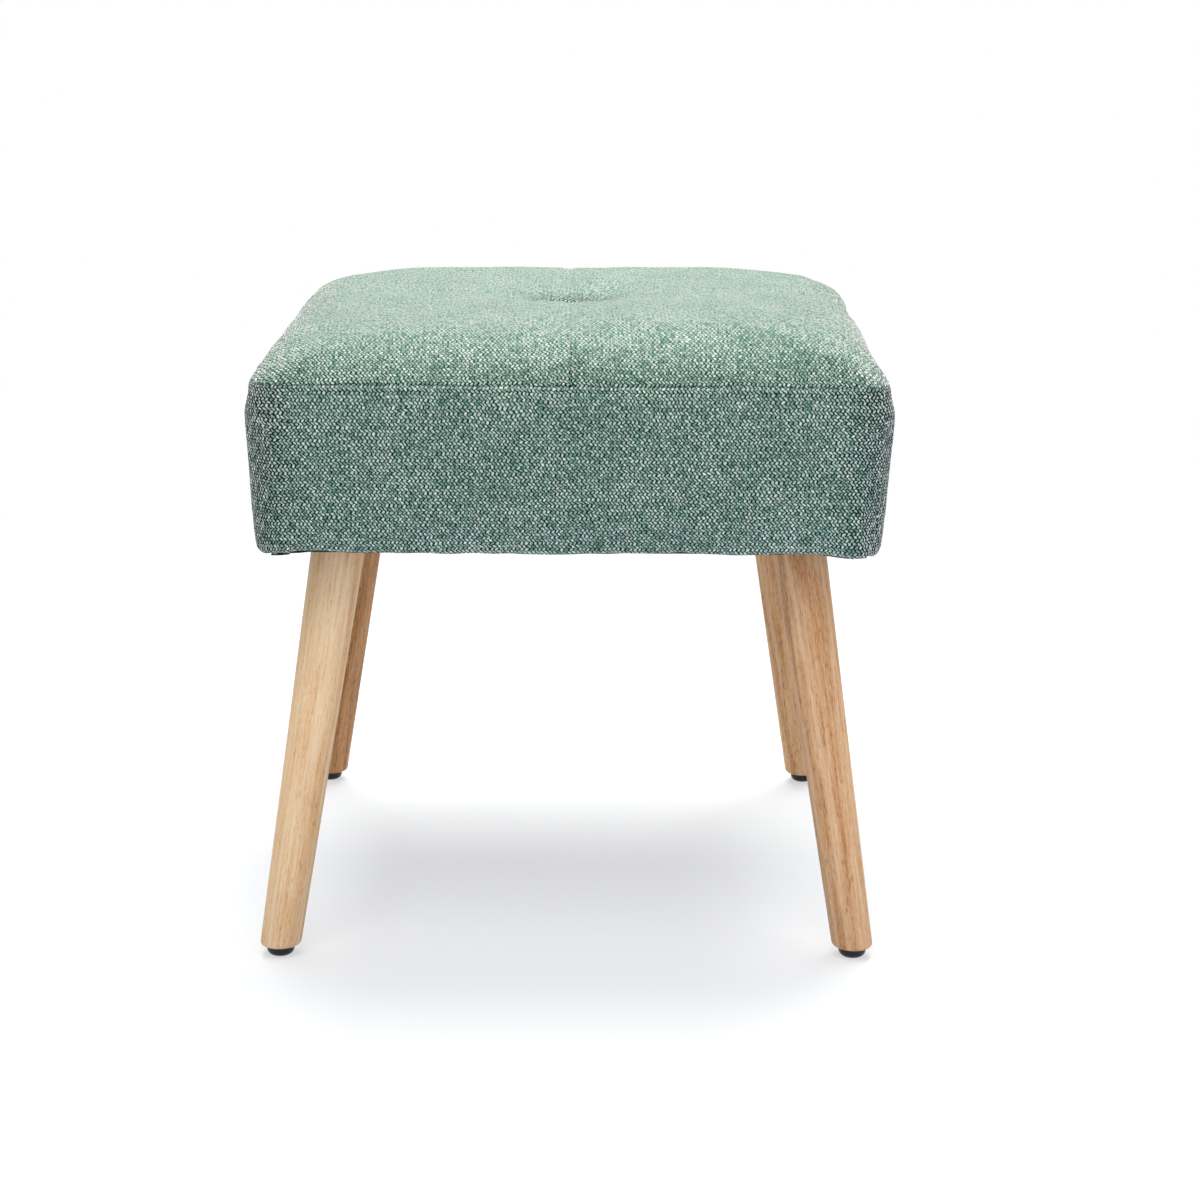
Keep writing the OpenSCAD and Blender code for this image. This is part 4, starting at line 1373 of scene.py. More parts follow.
@dataclass
class Padding:
    """Foam under the cover: a crowned pad on the deck, and a strip beside each rail."""

    cover: Cover
    skin: float = 3.2
    clear_of_seam: float = 3.0
    # Gaps between a strip and the pad above it, and between a strip and its rail
    under_pad: float = 0.05
    off_rail: float = 0.1
    fill: float = 0.85

    def kept(self, distances: np.ndarray) -> np.ndarray:
        """Numbers of every second line, leaving out those that crowd a seam.

        Args:
            distances: Distance of each line from the seam.

        Returns:
            Numbers of the lines that the foam keeps, its seam line and middle among them.
        """
        count = len(distances)
        spaced = np.flatnonzero((distances >= self.clear_of_seam) & (np.arange(count) % 2 == 0))
        return np.unique(np.concatenate([spaced, np.flatnonzero(distances < 1e-6), [count // 2]]))

    def mitred(self) -> np.ndarray:
        """Points of the seam line, moved in by the cover's thickness from both sides."""
        cover = self.cover
        inset = 1 + len(cover.close_rows)
        count = len(cover.lines)
        beside = np.clip(np.stack(cover.rim(count)), inset, count - 1 - inset)
        upper = grid_normals(cover.top)[tuple(beside)]
        outer = cover.band_normals()[inset]
        both = upper + outer
        shared = 1 + np.sum(upper * outer, axis=-1, keepdims=True)
        return cover.band[0] - both / shared * self.skin

    def build_pad(self) -> None:
        """Pad: the cover's own form, moved in, over a flat cut underside on the deck."""
        cover = self.cover
        places, over = cover.form.rise()
        kept = self.kept(over[-1] - np.interp(np.abs(cover.lines), places, over))
        top = (cover.top - grid_normals(cover.top) * self.skin)[np.ix_(kept, kept)]
        columns = np.flatnonzero(np.isin(np.arange(len(cover.lines) - 1), kept))
        columns = np.concatenate([columns + side * (len(cover.lines) - 1) for side in range(4)])
        ring = cover.rim(len(kept))
        top[ring] = self.mitred()[columns]

        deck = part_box("deck_board")[1].z / MM
        inner = cover.band - cover.band_normals() * self.skin
        low = inner[..., 2].min(axis=1)
        rows = [row for row in self.kept(cover.rows)[1:] if low[row] > deck + 1]
        wall = inner[np.ix_(rows, columns)]
        foot = wall[-1].copy()
        foot[:, 2] = deck
        points = np.concatenate([top.reshape(-1, 3), wall.reshape(-1, 3), foot])
        numbers = np.arange(len(kept) ** 2).reshape(len(kept), -1)
        below = np.arange(numbers.size, len(points)).reshape(len(rows) + 1, -1)
        sides = np.concatenate([numbers[ring][None], below])
        faces = [*grid_faces(numbers), *grid_faces(closed(sides)), below[-1, ::-1]]
        self.finish("foam_pad_crowned", points, faces, "foam_pad")

    def build_strip(self, quarter: int, node: str) -> None:
        """Strip between a rail and the cover, mitred at its ends.

        Args:
            quarter: Quarter turns from the right side, anticlockwise.
            node: The construction node that it stands for.
        """
        cover = self.cover
        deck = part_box("deck_board")[1].z / MM
        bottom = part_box(node)[0].z / MM
        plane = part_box("rail_right")[1].x / MM
        out = np.array([*heading(quarter), 0])
        aside = np.array([-out[1], out[0], 0])
        count = len(cover.lines) - 1
        columns = np.arange(quarter * count, (quarter + 1) * count + 1, 2) % (4 * count)
        inner = (cover.band - cover.band_normals() * self.skin)[:, columns]
        level = inner[..., 2].mean(axis=1)
        rows = np.flatnonzero((level < deck - 1) & (level > bottom + 1))[::2]
        face = inner[rows]
        ends = [face[0].copy(), face[-1].copy()]
        top = deck - self.under_pad
        ends[0][:, 2], ends[1][:, 2] = top, bottom
        along = np.clip(face[0] @ aside, -plane, plane)
        against = out * (plane + self.off_rail) + aside * along[:, None]
        backs = [against + [0, 0, bottom], against + [0, 0, top]]
        loop = np.stack([ends[0], *face, ends[1], *backs])
        numbers = np.arange(loop[..., 0].size).reshape(loop.shape[:2])
        faces = [*grid_faces(closed(numbers, 0)), numbers[::-1, 0], numbers[:, -1]]
        self.finish(f"{node}_strip", loop.reshape(-1, 3), faces, node)

    def finish(self, name: str, points: np.ndarray, faces: list, node: str) -> None:
        """Args:
            name: Name of the piece.
            points: Its points.
            faces: Point numbers of its faces.
            node: The construction node that it stands for.
        """
        piece = add_mesh(name, points, faces)
        smooth(piece, 50)
        FOAM.install(piece, node)

    def build(self) -> None:
        """Make the pad and the four strips."""
        self.build_pad()
        for quarter, side in enumerate(("right", "back", "left", "front")):
            self.build_strip(quarter, f"side_foam_{side}")


@dataclass
class Seams:
    """Sewing thread where it shows: a short stitch across the seam at every needle hole."""

    cover: Cover
    stitch: float = 3.4
    reach: float = 0.8
    # Share of the reach over which the thread lies on the cloth, before it dives
    flat_share: float = 0.6
    thread_r: float = 0.25
    # Share of the thread's radius that its middle lies under the cloth's outer face
    sunk: float = 0.5
    # Grid lines beside the tuft that have no stitches
    bare_lines: int = 3
    sides: int = 6

    def stitches_along(self, line: np.ndarray, normals: np.ndarray) -> np.ndarray:
        """Points of the stitches along one seam.

        Args:
            line: Points of the seam.
            normals: Outward normals there.

        Returns:
            Points of all its stitches, by stitch.
        """
        over = travelled(line)
        at = np.arange(self.stitch / 2, over[-1], self.stitch)

        def read(values: np.ndarray, places: np.ndarray) -> np.ndarray:
            """Values along the seam at some distances from its start."""
            return np.stack([np.interp(places, over, column) for column in values.T], axis=-1)

        middle, up = read(line, at), unit(read(normals, at))
        across = unit(np.cross(read(line, at + 0.5) - middle, up))
        ahead = np.cross(up, across)
        turns = np.arange(self.sides) * 2 * math.pi / self.sides
        rings = [
            middle + across * side * self.reach * self.flat_share
            + self.thread_r * (up * (math.sin(turn) - self.sunk) + ahead * math.cos(turn))
            for side in (-1, 1) for turn in turns
        ]
        tips = [middle + across * side * self.reach - up * self.thread_r for side in (-1, 1)]
        return np.stack([*rings, *tips], axis=1)

    def build(self) -> None:
        """Sew the two middle seams and the seam round the top, as one piece."""
        cover = self.cover
        normals = grid_normals(cover.top)
        middle = len(cover.lines) // 2
        rim = cover.rim(len(cover.lines))
        edge, edge_normals = cover.top[rim], normals[rim] + cover.band_normals()[0]
        above, below = slice(middle + self.bare_lines + 1, None), slice(None, middle - self.bare_lines)
        spans = ((above, middle), (below, middle), (middle, above), (middle, below))
        runs = [(cover.top[span], normals[span]) for span in spans]
        runs.append((closed(edge, 0), closed(edge_normals, 0)))
        stitches = np.concatenate([self.stitches_along(line, normals) for line, normals in runs])
        n = self.sides
        one = [[i, (i + 1) % n, n + (i + 1) % n, n + i] for i in range(n)]
        one += [[(i + 1) % n, i, 2 * n] for i in range(n)]
        one += [[n + i, n + (i + 1) % n, 2 * n + 1] for i in range(n)]
        faces = [[k * (2 * n + 2) + i for i in face] for k in range(len(stitches)) for face in one]
        piece = add_mesh("seam_stitches", stitches.reshape(-1, 3), faces)
        smooth(piece, 180)
        THREAD.install(piece)


@dataclass
class Tuft:
    """Laid twine that holds the tuft down, knotted in the hollow and under its anchor."""

    # Height of the cover's lowest point, in the hollow
    hollow_z: float
    ply_r: float = 0.5
    plies: int = 3
    lay: float = 7.0
    step: float = 0.8
    sides: int = 6
    knot_size: float = 0.85
    knot_ply_r: float = 0.34
    knot_steps: int = 72
    knot_tallness: float = 1.3
    # How far the plies' middles lie from the twine's, in radii, and the knot over the cloth
    ply_spread: float = 1.15
    knot_rise: float = 0.7

    def frames(self, path: np.ndarray) -> tuple[np.ndarray, np.ndarray]:
        """Two directions across a path that turn with it as little as they can."""
        ahead = unit(np.gradient(path, axis=0))
        first = np.zeros_like(path)
        way = np.array([1.0, 0.0, 0.0])
        for i, t in enumerate(ahead):
            way = way - t * (way @ t)
            way /= np.linalg.norm(way)
            first[i] = way
        return first, np.cross(ahead, first)

    def ring(self, path: np.ndarray, r: float, turns: np.ndarray) -> np.ndarray:
        """Points at a distance from a path, by point and by turn."""
        first, second = self.frames(path)
        return path[:, None] + r * (
            first[:, None] * np.cos(turns)[..., None] + second[:, None] * np.sin(turns)[..., None])

    def laid(self, path: np.ndarray, ply_r: float) -> tuple[np.ndarray, list]:
        """Twist plies round a path.

        Args:
            path: Middle line of the twine.
            ply_r: Radius of one ply.

        Returns:
            Points and faces of the plies.
        """
        over = travelled(path)
        around = 2 * math.pi * np.arange(self.plies) / self.plies
        twist = over[:, None] * 2 * math.pi / self.lay
        strands = self.ring(path, self.ply_spread * ply_r, around[None] + twist)
        turns = np.arange(self.sides)[None] * 2 * math.pi / self.sides
        points, faces = [], []
        for k in range(self.plies):
            tube = self.ring(strands[:, k], ply_r, turns + 0 * over[:, None])
            numbers = np.arange(tube[..., 0].size).reshape(tube.shape[:2]) + k * tube[..., 0].size
            points.append(tube.reshape(-1, 3))
            faces += [*grid_faces(closed(numbers))[:, ::-1]]
            faces += [numbers[0, ::-1], numbers[-1]]
        return np.concatenate(points), faces

    def knot(self, at: float) -> np.ndarray:
        """Middle line of an overhand knot at a height."""
        t = np.linspace(0, 2 * math.pi, self.knot_steps)
        across, deep = np.sin(t) + 2 * np.sin(2 * t), np.cos(t) - 2 * np.cos(2 * t)
        loop = np.stack([across, deep, -np.sin(3 * t)], axis=-1)
        return loop * self.knot_size * (1, 1, self.knot_tallness) + (0, 0, at)

    def build(self) -> None:
        """Run the twine from knot to knot and tie both."""
        low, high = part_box("tuft_twine")
        knot_r = high.x / MM
        bottom = low.z / MM + knot_r
        top = min(high.z / MM - knot_r, self.hollow_z + self.knot_rise)
        heights = np.arange(bottom, top, self.step)
        straight = np.stack([0 * heights, 0 * heights, heights], axis=-1)
        parts = [
            self.laid(straight, self.ply_r),
            self.laid(self.knot(bottom), self.knot_ply_r),
            self.laid(self.knot(top), self.knot_ply_r),
        ]
        points, faces = [], []
        for piece_points, piece_faces in parts:
            start = sum(len(part) for part in points)
            faces += [[start + number for number in face] for face in piece_faces]
            points.append(piece_points)
        piece = add_mesh("laid_tuft_twine", np.concatenate(points), faces)
        smooth(piece, 60)
        TWINE.install(piece, "tuft_twine")


# The closed underside


@dataclass
class DustCover:
    """Thin black cloth that closes the underside, hemmed, stapled and slit for the legs."""

    cover: Cover
    thickness: float = 0.5
    step: float = 6.0
    drape: float = 7.0
    hem: float = 11.0
    hem_swell: float = 0.2
    sag: float = 1.6
    hole_r: float = 18.9
    hole_points: int = 40
    leg_inset: float = 54.0
    # Distance between staples
    pitch: float = 36.0
    under_band: float = 0.15
    under_frame: float = 0.1
    # Between two staples the edge gapes, and so does the cloth beside the staples' row
    gape: float = 0.3
    gape_run: float = 5.0
    puff: float = 0.2
    puff_at: float = 16.0
    puff_reach: float = 9.0
    # The slit edge round a leg hangs a little, by no more than lip_most
    lip: float = 0.5
    lip_run: float = 4.0
    lip_most: float = 1.2
    hem_edge: float = 0.8
    clear_of_hole: float = 4.5
    hole_margin: float = 2.0
    slack_waves: Ripple = Ripple(0.25, 120.0, 51)
    lip_waves: Ripple = Ripple(0.8, 14.0, 53)
    fine_waves: Ripple = Ripple(0.12, 24.0, 55)

    @property
    def reach(self) -> float:
        """Half the width of the closed underside."""
        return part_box("dust_cover")[1].x / MM

    def from_leg(self, x: np.ndarray, y: np.ndarray) -> np.ndarray:
        """Distance of each point from the middle of the nearest leg hole."""
        return np.hypot(np.abs(x) - self.hole_at, np.abs(y) - self.hole_at)

    @property
    def hole_at(self) -> float:
        """Distance of the leg holes' middles from the seat's middle lines."""
        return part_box("side_band")[1].x / MM - self.leg_inset

    def hang(self, x: np.ndarray, y: np.ndarray) -> np.ndarray:
        """How far the cloth hangs below the frame at each point."""
        reach = self.reach
        edge = reach - np.maximum(np.abs(x), np.abs(y))
        along = np.where(np.abs(x) > np.abs(y), y, x)
        between = (1 - np.cos(2 * math.pi * along / self.pitch)) / 2
        slack = self.sag * (1 - (x / reach) ** 2) * (1 - (y / reach) ** 2)
        slack = slack * (1 + self.slack_waves.at(x, y))
        hemmed = self.hem_swell * np.clip((self.hem - edge) / self.hem_edge, 0, 1)
        gape = self.gape * np.exp(-edge / self.gape_run)
        loose = between * (gape + self.puff * bell(edge - self.puff_at, self.puff_reach))
        round_leg = self.from_leg(x, y) - self.hole_r
        lip = self.lip * np.exp(-round_leg / self.lip_run) * (1 + self.lip_waves.at(x, y))
        return slack + hemmed + loose + np.clip(lip, 0, self.lip_most) + self.fine_waves.at(x, y)

    def upper_face(self, x: np.ndarray, y: np.ndarray) -> np.ndarray:
        """Height of the cloth, which hangs from its staples and passes under the band.

        Args:
            x: Place of each point along X.
            y: The same along Y.

        Returns:
            Height of the upper face at each point.
        """
        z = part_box("dust_cover")[1].z / MM - self.under_frame - self.hang(x, y)
        turned_in = self.cover.rows > self.cover.rows[-1] - self.cover.form.turn_in
        band = self.cover.band[turned_in].reshape(-1, 3)
        for i in np.flatnonzero(np.maximum(np.abs(x), np.abs(y)) > self.reach - self.pitch):
            near = np.hypot(band[:, 0] - x[i], band[:, 1] - y[i]) < self.drape
            if near.any():
                z[i] = min(z[i], band[near, 2].min() - self.under_band)
        return z

    def build(self) -> None:
        """Lay the cloth out flat with its leg holes, then hang it from its staples."""
        reach = self.reach
        count = round(2 * reach / self.step) + 1
        lines = np.linspace(-reach, reach, count)
        lines = np.sort(np.append(lines, [self.hem - reach, reach - self.hem]))
        x, y = (place.ravel() for place in np.meshgrid(lines, lines))
        points = [np.stack([x, y], axis=-1)[self.from_leg(x, y) > self.hole_r + self.clear_of_hole]]
        turns = np.arange(self.hole_points) * 2 * math.pi / self.hole_points
        for corner in Corner:
            for wider in (0, self.hole_margin):
                ring = np.stack([np.cos(turns), np.sin(turns)], axis=-1) * (self.hole_r + wider)
                points.append(ring + np.array(corner.value) * self.hole_at)
        flat = np.concatenate(points)
        mapped = delaunay_2d_cdt([Vector(p) for p in flat], [], [], 0, 1e-6)
        flat = np.array([tuple(p) for p in mapped[0]])
        faces = np.array(mapped[2])
        centre = flat[faces].mean(axis=1)
        faces = faces[self.from_leg(*centre.T) > self.hole_r]
        z = self.upper_face(flat[:, 0], flat[:, 1])
        piece = add_mesh("hung_dust_cover", np.column_stack([flat, z]), faces)
        apply_modifier(piece, "SOLIDIFY", thickness=self.thickness * MM, offset=-1.0)
        smooth(piece, 50)
        FELT.install(piece, "dust_cover")


@dataclass
class Staples:
    """Wire staples through the dust cover and the turned-in cloth, driven by hand gun."""

    dust_cover: DustCover
    wire_r: float = 0.4
    width: float = 10.0
    length: float = 10.0
    bend_r: float = 0.7
    sides: int = 8
    # Distance of a row from the seat's side
    line: float = 23.0
    per_side: int = 9
    # How unevenly they are driven, in radians and in millimetres
    turned: float = 0.05
    slipped: float = 0.3
    # Share of the wire's radius that the middle of a crown lies under the cloth
    under_cloth: float = 0.7

    def model(self) -> bpy.types.Object:
        """Bend one staple from round wire, crown down on the origin."""
        half = self.width / 2 - self.wire_r
        bpy.ops.mesh.primitive_circle_add(
            vertices=self.sides, radius=self.wire_r * MM, fill_type="NGON",
            location=(-half * MM, 0, self.length * MM))
        staple = bpy.context.active_object
        bpy.ops.object.transform_apply(location=True, rotation=True, scale=True)
        edit_faces(staple)
        upright, straight = self.length - self.bend_r, half - self.bend_r
        pull(Vector((0, 0, -upright)))
        self.bend(-straight)
        pull(Vector((2 * straight, 0, 0)))
        self.bend(straight)
        pull(Vector((0, 0, upright)))
        bpy.ops.mesh.select_all(action="SELECT")
        bpy.ops.mesh.normals_make_consistent(inside=False)
        bpy.ops.object.mode_set(mode="OBJECT")
        smooth(staple, 50)
        return staple

    def bend(self, at: float) -> None:
        """Bend the wire's selected end by a quarter turn, round a place along X."""
        bpy.ops.mesh.spin(
            steps=4, angle=math.pi / 2, center=(at * MM, 0, self.bend_r * MM), axis=(0, 1, 0))

    def build(self) -> None:
        """Drive a row of staples along each side and join them into one piece."""
        model = self.model()
        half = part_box("side_band")[1].x / MM
        crown = np.linspace(-self.width / 2, self.width / 2, 5)
        rng = np.random.default_rng(61)
        pitch = self.dust_cover.pitch
        copies = []
        for quarter in range(4):
            for i in range(self.per_side):
                turn, slip = rng.normal(0, self.turned), rng.normal(0, self.slipped)
                along, across = (i - (self.per_side - 1) / 2) * pitch, slip - (half - self.line)
                around = Matrix.Rotation(quarter * math.pi / 2, 2)
                spots = np.array([around @ Vector((along + d, across)) for d in crown])
                lower_face = self.dust_cover.upper_face(*spots.T) - self.dust_cover.thickness
                at = Vector((along, across, lower_face.min() - self.under_cloth * self.wire_r))
                staple = link("wire_staple", model.data.copy())
                staple.data.transform(
                    Matrix.Rotation(quarter * math.pi / 2, 4, "Z")
                    @ Matrix.Translation(at * MM) @ Matrix.Rotation(turn, 4, "Z"))
                copies.append(staple)
        bpy.data.objects.remove(model)
        pick(copies[0])
        for staple in copies:
            staple.select_set(True)
        bpy.ops.object.join()
        joined = bpy.context.active_object
        joined.name = "wire_staples"
        STEEL.install(joined, "staples")


# Legs and glides


@dataclass
class Legs:
    """Four turned, tapered, splayed legs on moulded glides."""

    inset: float = 54.0
    frame_z: float = 270.0
    splay: float = 8.5
    boss_drop: float = 8.0
    top_r: float = 17.0
    foot_r: float = 13.0
    foot_round: float = 2.4
    top_round: float = 0.8
    bore_r: float = 4.1
    bore_depth: float = 41.0
    glide_r: float = 9.0
    glide_h: float = 7.0
    glide_edge_r: float = 4.6
    glide_top_round: float = 0.3
    recess_r: float = 3.4
    recess_depth: float = 1.5
    sides: int = 72
    glide_sides: int = 48
    # The cone runs on under the foot by this length, which is then cut off level
    spare: float = 14.0

    def tilt(self) -> Matrix:
        """Place of the back right leg: origin on the frame's underside, Z up the leg."""
        lean = math.atan(math.sqrt(2) * math.tan(math.radians(self.splay)))
        seat_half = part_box("side_band")[1].x / MM
        start = Vector((seat_half - self.inset, seat_half - self.inset, self.frame_z)) * MM
        return Matrix.Translation(start) @ Matrix.Rotation(math.radians(45), 4, "Z") \
            @ Matrix.Rotation(-lean, 4, "Y")

    def model_leg(self) -> bpy.types.Object:
        """Turn the back right leg: taper, level foot with a round edge, bore for its bolt."""
        place = self.tilt()
        drop = self.frame_z - self.glide_h
        run = drop * MM / -(place.to_3x3() @ Vector((0, 0, -1))).z / MM
        slope = (self.top_r - self.foot_r) / (run - self.boss_drop)
        length = run + self.spare - self.boss_drop
        centre = place @ Vector((0, 0, -(self.boss_drop + length / 2) * MM))
        bpy.ops.mesh.primitive_cone_add(
            vertices=self.sides, radius1=(self.foot_r - slope * self.spare) * MM, radius2=self.top_r * MM,
            depth=length * MM, location=centre, rotation=place.to_euler())
        leg = bpy.context.active_object
        bpy.ops.object.transform_apply(location=True, rotation=True, scale=True)
        upward = place.to_3x3() @ Vector((0, 0, 1))

        edit_faces(leg)
        bpy.ops.mesh.bisect(
            plane_co=(0, 0, self.glide_h * MM), plane_no=(0, 0, 1), use_fill=True, clear_inner=True)
        self.select_faces(leg, Vector((0, 0, -1)))
        bevel(self.foot_round, 4)
        self.select_faces(leg, upward)
        bevel(self.top_round, 2)
        self.select_faces(leg, upward)
        bpy.ops.mesh.inset(thickness=(self.top_r - self.top_round - self.bore_r) * MM)
        pull(upward * -self.bore_depth)
        bpy.ops.object.mode_set(mode="OBJECT")
        smooth(leg, 30)
        return leg

    def select_faces(self, piece: bpy.types.Object, way: Vector) -> None:
        """Select the flat end faces of a piece in edit mode.

        Args:
            piece: The piece, in edit mode.
            way: Direction that the faces look in.
        """
        bpy.ops.mesh.select_all(action="DESELECT")
        bpy.ops.object.mode_set(mode="OBJECT")
        for face in piece.data.polygons:
            face.select = face.normal.dot(way) > 0.999 and len(face.vertices) > 8
        bpy.ops.object.mode_set(mode="EDIT")

    def model_glide(self) -> bpy.types.Object:
        """Mould the back right glide: rounded lower edge and a sunk middle for its nail."""
        foot = self.tilt() @ Vector((0, 0, 0))
        reach = (self.frame_z - self.glide_h) * MM * math.tan(math.radians(self.splay))
        bpy.ops.mesh.primitive_cylinder_add(
            vertices=self.glide_sides, radius=self.glide_r * MM, depth=self.glide_h * MM,
            location=(foot.x + reach, foot.y + reach, self.glide_h / 2 * MM))
        glide = bpy.context.active_object
        bpy.ops.object.transform_apply(location=True, rotation=True, scale=True)
        edit_faces(glide)
        self.select_faces(glide, Vector((0, 0, -1)))
        bevel(self.glide_edge_r, 6)
        self.select_faces(glide, Vector((0, 0, -1)))
        bpy.ops.mesh.inset(thickness=(self.glide_r - self.glide_edge_r - self.recess_r) * MM)
        pull(Vector((0, 0, self.recess_depth)))
        self.select_faces(glide, Vector((0, 0, 1)))
        bevel(self.glide_top_round, 2)
        bpy.ops.object.mode_set(mode="OBJECT")
        smooth(glide, 35)
        return glide

    def copy_to(self, model: bpy.types.Object, corner: Corner, name: str) -> bpy.types.Object:
        """Copy a piece of the back right corner to another corner, with its own mesh.

        Args:
            model: The piece at the back right corner.
            corner: Where the copy goes.
            name: Name of the copy.

        Returns:
            The copy, with its faces looking outwards.
        """
        piece = link(name, model.data.copy())
        piece.data.transform(Matrix.Diagonal((*corner.value, 1, 1)))
        if corner.value[0] * corner.value[1] < 0:
            piece.data.flip_normals()
        return piece

    def build(self) -> None:
        """Model one leg and one glide, and set a copy of each at every corner."""
        leg_model, glide_model = self.model_leg(), self.model_glide()
        inverse = self.tilt().inverted()
        for corner in Corner:
            leg = self.copy_to(leg_model, corner, f"turned_leg_{corner.label}")
            flip = Matrix.Diagonal((*corner.value, 1, 1))
            grain = leg.data.attributes.new("grain", "FLOAT_VECTOR", "POINT")
            along = [tuple((inverse @ flip @ v.co) / MM) for v in leg.data.vertices]
            grain.data.foreach_set("vector", np.array(along).ravel())
            LEG_WOOD_AND_SHADE[corner].install(leg, f"leg_{corner.label}")
            glide = self.copy_to(glide_model, corner, f"moulded_glide_{corner.label}")
            GLIDE_PLASTIC.install(glide, f"glide_{corner.label}")
        for model in (leg_model, glide_model):
            bpy.data.objects.remove(model)


# The frame that carries the seat


@dataclass
class Carcass:
    """Pieces that keep their construction shapes: rails, blocks, deck, plates, fasteners."""

    finishes: tuple[tuple[Finish, tuple[str, ...]], ...] = (
        (PINE_ACROSS, ("rail_front", "rail_back")),
        (PINE_DEEP, ("rail_left", "rail_right")),
        (PLYWOOD, ("deck_board",)),
        (ANCHOR_PLASTIC, ("tuft_anchor",)),
        (STEEL, ("rail_screws", "block_screws", "deck_screws", "plate_screws", "hanger_bolts",
                 "glide_nails")),
    )
    arris: float = 0.8
    edge: float = 0.25
    weld: float = 0.005
    sharp: float = 50.0

    def build(self) -> None:
        """Dress every node that no new piece stands for."""
        for finish, nodes in self.finishes:
            for node in nodes:
                finish.dress_node(node)
        for corner in Corner:
            PINE_UPRIGHT.dress_node(f"corner_block_{corner.label}")
            STEEL.dress_node(f"leg_plate_{corner.label}")
            self.soften(f"corner_block_{corner.label}", self.arris)
            self.soften(f"leg_plate_{corner.label}", self.edge)
        for side in ("front", "back", "left", "right"):
            self.soften(f"rail_{side}", self.arris)
        LOG.info("carcass dressed")

    def soften(self, node: str, width: float) -> None:
        """Round a node's sharp edges a little.

        Args:
            node: Name of the node.
            width: Width of the rounding.
        """
        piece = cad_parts[node]
        weld = piece.modifiers.new("weld", "WELD")
        weld.merge_threshold = self.weld * MM
        arris = piece.modifiers.new("arris", "BEVEL")
        arris.width = width * MM
        arris.segments = 2
        arris.limit_method = "ANGLE"
        arris.angle_limit = math.radians(self.sharp)


# Studio


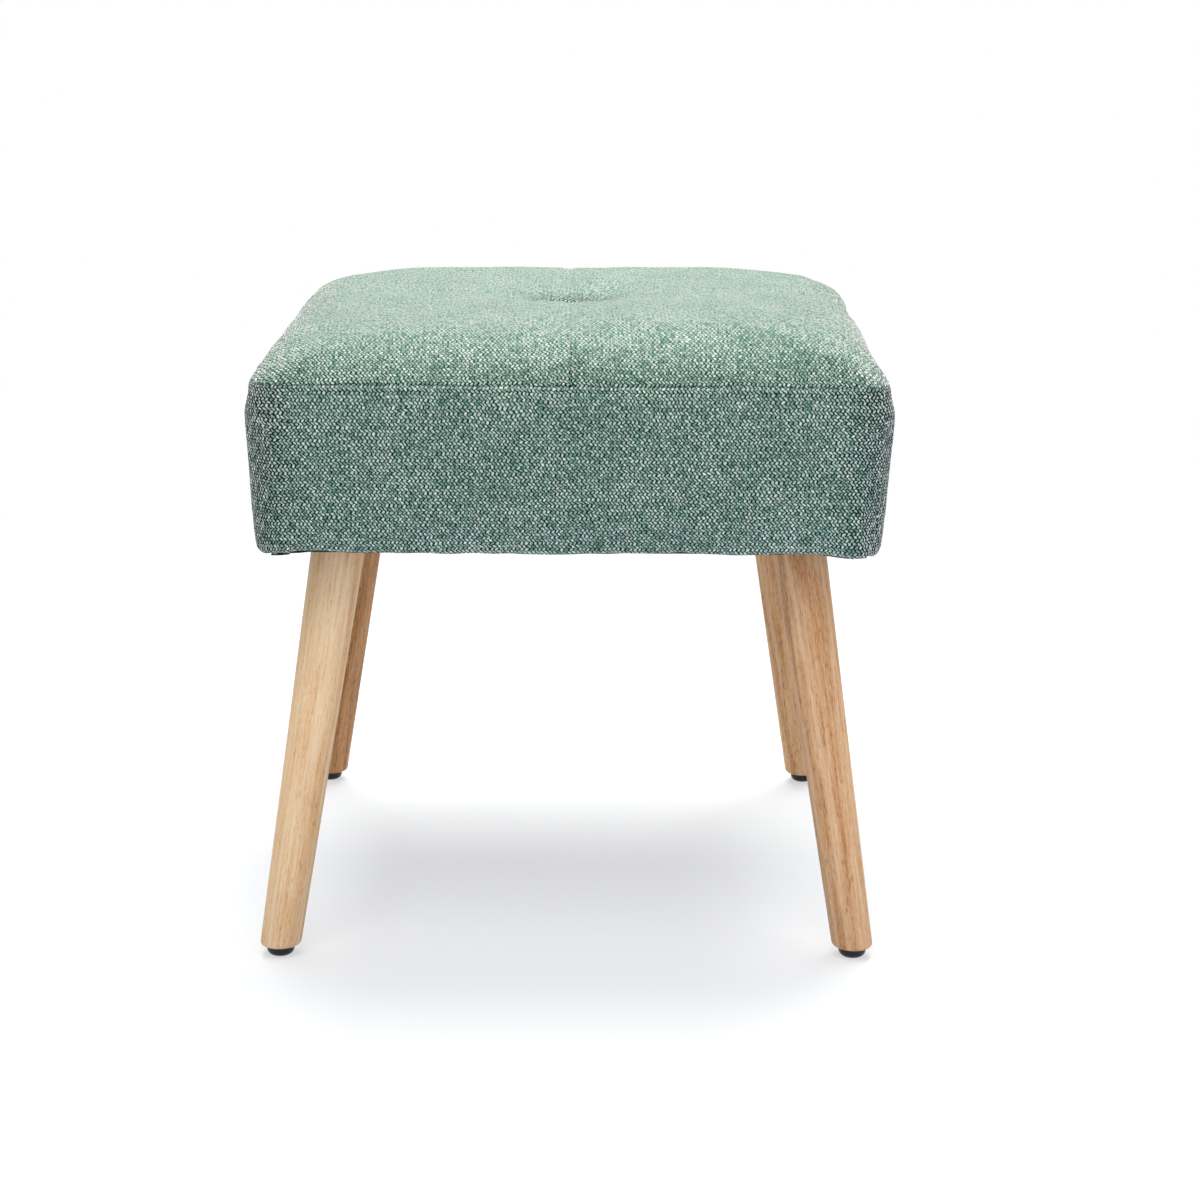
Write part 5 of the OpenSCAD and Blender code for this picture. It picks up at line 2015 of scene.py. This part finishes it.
@dataclass
class Studio:
    """Camera, lights, world and floor."""

    camera_at: tuple[float, float, float] = (-4.461, -1779.589, 632.383)
    down: float = 0.2431
    aside: float = 0.015
    roll: float = 0.009
    focal_px: float = 2617.76
    picture_px: float = 1200.0
    sensor: float = 36.0
    floor_r: float = 3000.0
    ambient: float = 0.33
    top_power: float = 78.0
    front_power: float = 23.5
    fill_power: float = 1.2
    floor_power: float = 3.8
    right_power: float = 2.3
    left_power: float = 0.92

    def add_camera(self) -> None:
        """Put the camera where the photograph was taken from."""
        down, aside, roll = self.down, self.aside, self.roll
        forward = Vector((
            math.sin(aside) * math.cos(down), math.cos(aside) * math.cos(down), -math.sin(down)))
        level = Vector((math.cos(aside), -math.sin(aside), 0))
        up = level.cross(forward)
        right = level * math.cos(roll) + up * math.sin(roll)
        above = up * math.cos(roll) - level * math.sin(roll)
        data = bpy.data.cameras.new("camera")
        data.sensor_width = self.sensor
        data.lens = self.focal_px / self.picture_px * self.sensor
        data.clip_end = 30
        camera = link("camera", data)
        turned = Matrix((right, above, -forward)).transposed().to_4x4()
        camera.matrix_world = Matrix.Translation(Vector(self.camera_at) * MM) @ turned
        bpy.context.scene.camera = camera

    def add_light(
        self, name: str, at: tuple, aim: tuple, size: float, power: float, colour: str
    ) -> None:
        """Hang one softbox.

        Args:
            name: Name of the lamp.
            at: Its place, in metres.
            aim: The point that it looks at, in metres.
            size: Width of the softbox, in metres.
            power: Its power, in watts.
            colour: Its colour.
        """
        data = bpy.data.lights.new(name, "AREA")
        data.shape = "SQUARE"
        data.size = size
        data.energy = power
        data.color = linear(colour)[:3]
        lamp = link(name, data)
        lamp.location = at
        lamp.rotation_euler = (Vector(aim) - Vector(at)).to_track_quat("-Z", "Y").to_euler()

    def add_world(self) -> None:
        """White where it is seen or mirrored, a soft even light on everything else."""
        world = bpy.data.worlds.new("studio")
        bpy.context.scene.world = world
        graph = Graph.of(world)
        soft = graph.add("Background", {"Color": linear("#F6F8FF"), "Strength": self.ambient})
        white = graph.add("Background", {"Color": WHITE, "Strength": 1.0})
        mixed = graph.add("MixShader", {0: graph.seen(), 1: soft, 2: white})
        graph.add("OutputWorld", {"Surface": mixed})

    def add_floor(self) -> None:
        """Pale floor that keeps the shadow and fades to white away from the stool."""
        bpy.ops.mesh.primitive_circle_add(vertices=96, radius=self.floor_r * MM, fill_type="NGON")
        floor = bpy.context.active_object
        floor.name = "floor"
        material = bpy.data.materials.new("pale_paper_floor")
        graph = Graph.of(material)
        away = graph.vectors("LENGTH", graph.add("TexCoord", out="Object"))
        fade = graph.ramp(away, 0.25, 1.3, eased=True)
        paper = graph.add("BsdfDiffuse", {"Color": linear("#D9DBE0")})
        veil = graph.add("BsdfDiffuse", {"Color": linear("#AEB0B4")})
        glow = graph.add("Emission", {"Color": WHITE, "Strength": 0.55})
        near = graph.add("AddShader", {0: veil, 1: glow})
        lit = graph.add("Emission", {"Color": WHITE, "Strength": 1.0})
        shown = graph.add("MixShader", {0: fade, 1: near, 2: lit})
        mixed = graph.add("MixShader", {0: graph.seen(), 1: paper, 2: shown})
        # From below the floor is clear, so that the stool's underside can be seen
        below = graph.add("NewGeometry", out="Backfacing")
        clear = graph.add("BsdfTransparent")
        sided = graph.add("MixShader", {0: below, 1: mixed, 2: clear})
        graph.add("OutputMaterial", {"Surface": sided})
        floor.data.materials.append(material)

    def build(self) -> None:
        """Set up the camera, the lights, the world and the floor."""
        bpy.context.scene.view_settings.view_transform = "Standard"
        self.add_camera()
        lamps = (
            ("overhead", (0.1, 0.7, 2.1), (0, 0, 0.35), 1.5, self.top_power, "#FFFEF6"),
            ("front_above", (-0.3, -1.2, 2.6), (0, 0, 0.3), 1.2, self.front_power, "#FFFEF8"),
            ("front_fill", (0.1, -1.3, 0.9), (0, 0, 0.33), 0.9, self.fill_power, "#FFFFFF"),
            ("floor_bounce", (0.1, -1.0, 0.03), (0, 0, 0.25), 0.8, self.floor_power, "#D4DEFF"),
            ("right_side", (1.3, -0.7, 0.5), (0, 0, 0.3), 0.7, self.right_power, "#F4F7FF"),
            ("left_side", (-1.3, -0.7, 0.5), (0, 0, 0.3), 0.7, self.left_power, "#F4F7FF"),
        )
        for lamp in lamps:
            self.add_light(*lamp)
        self.add_world()
        self.add_floor()
        LOG.info("studio ready")


def main() -> None:
    """Build the stool from the inside out, then the studio."""
    logging.basicConfig(level=logging.INFO, format="%(name)s: %(message)s")
    Carcass().build()
    form = SeatForm.from_frame()
    cover = Cover(form)
    cover.build()
    Padding(cover).build()
    Seams(cover).build()
    Tuft(float(form.height(np.zeros(1), np.zeros(1))[0])).build()
    dust_cover = DustCover(cover)
    dust_cover.build()
    Staples(dust_cover).build()
    Legs().build()
    Studio().build()


if __name__ == "__main__":
    main()
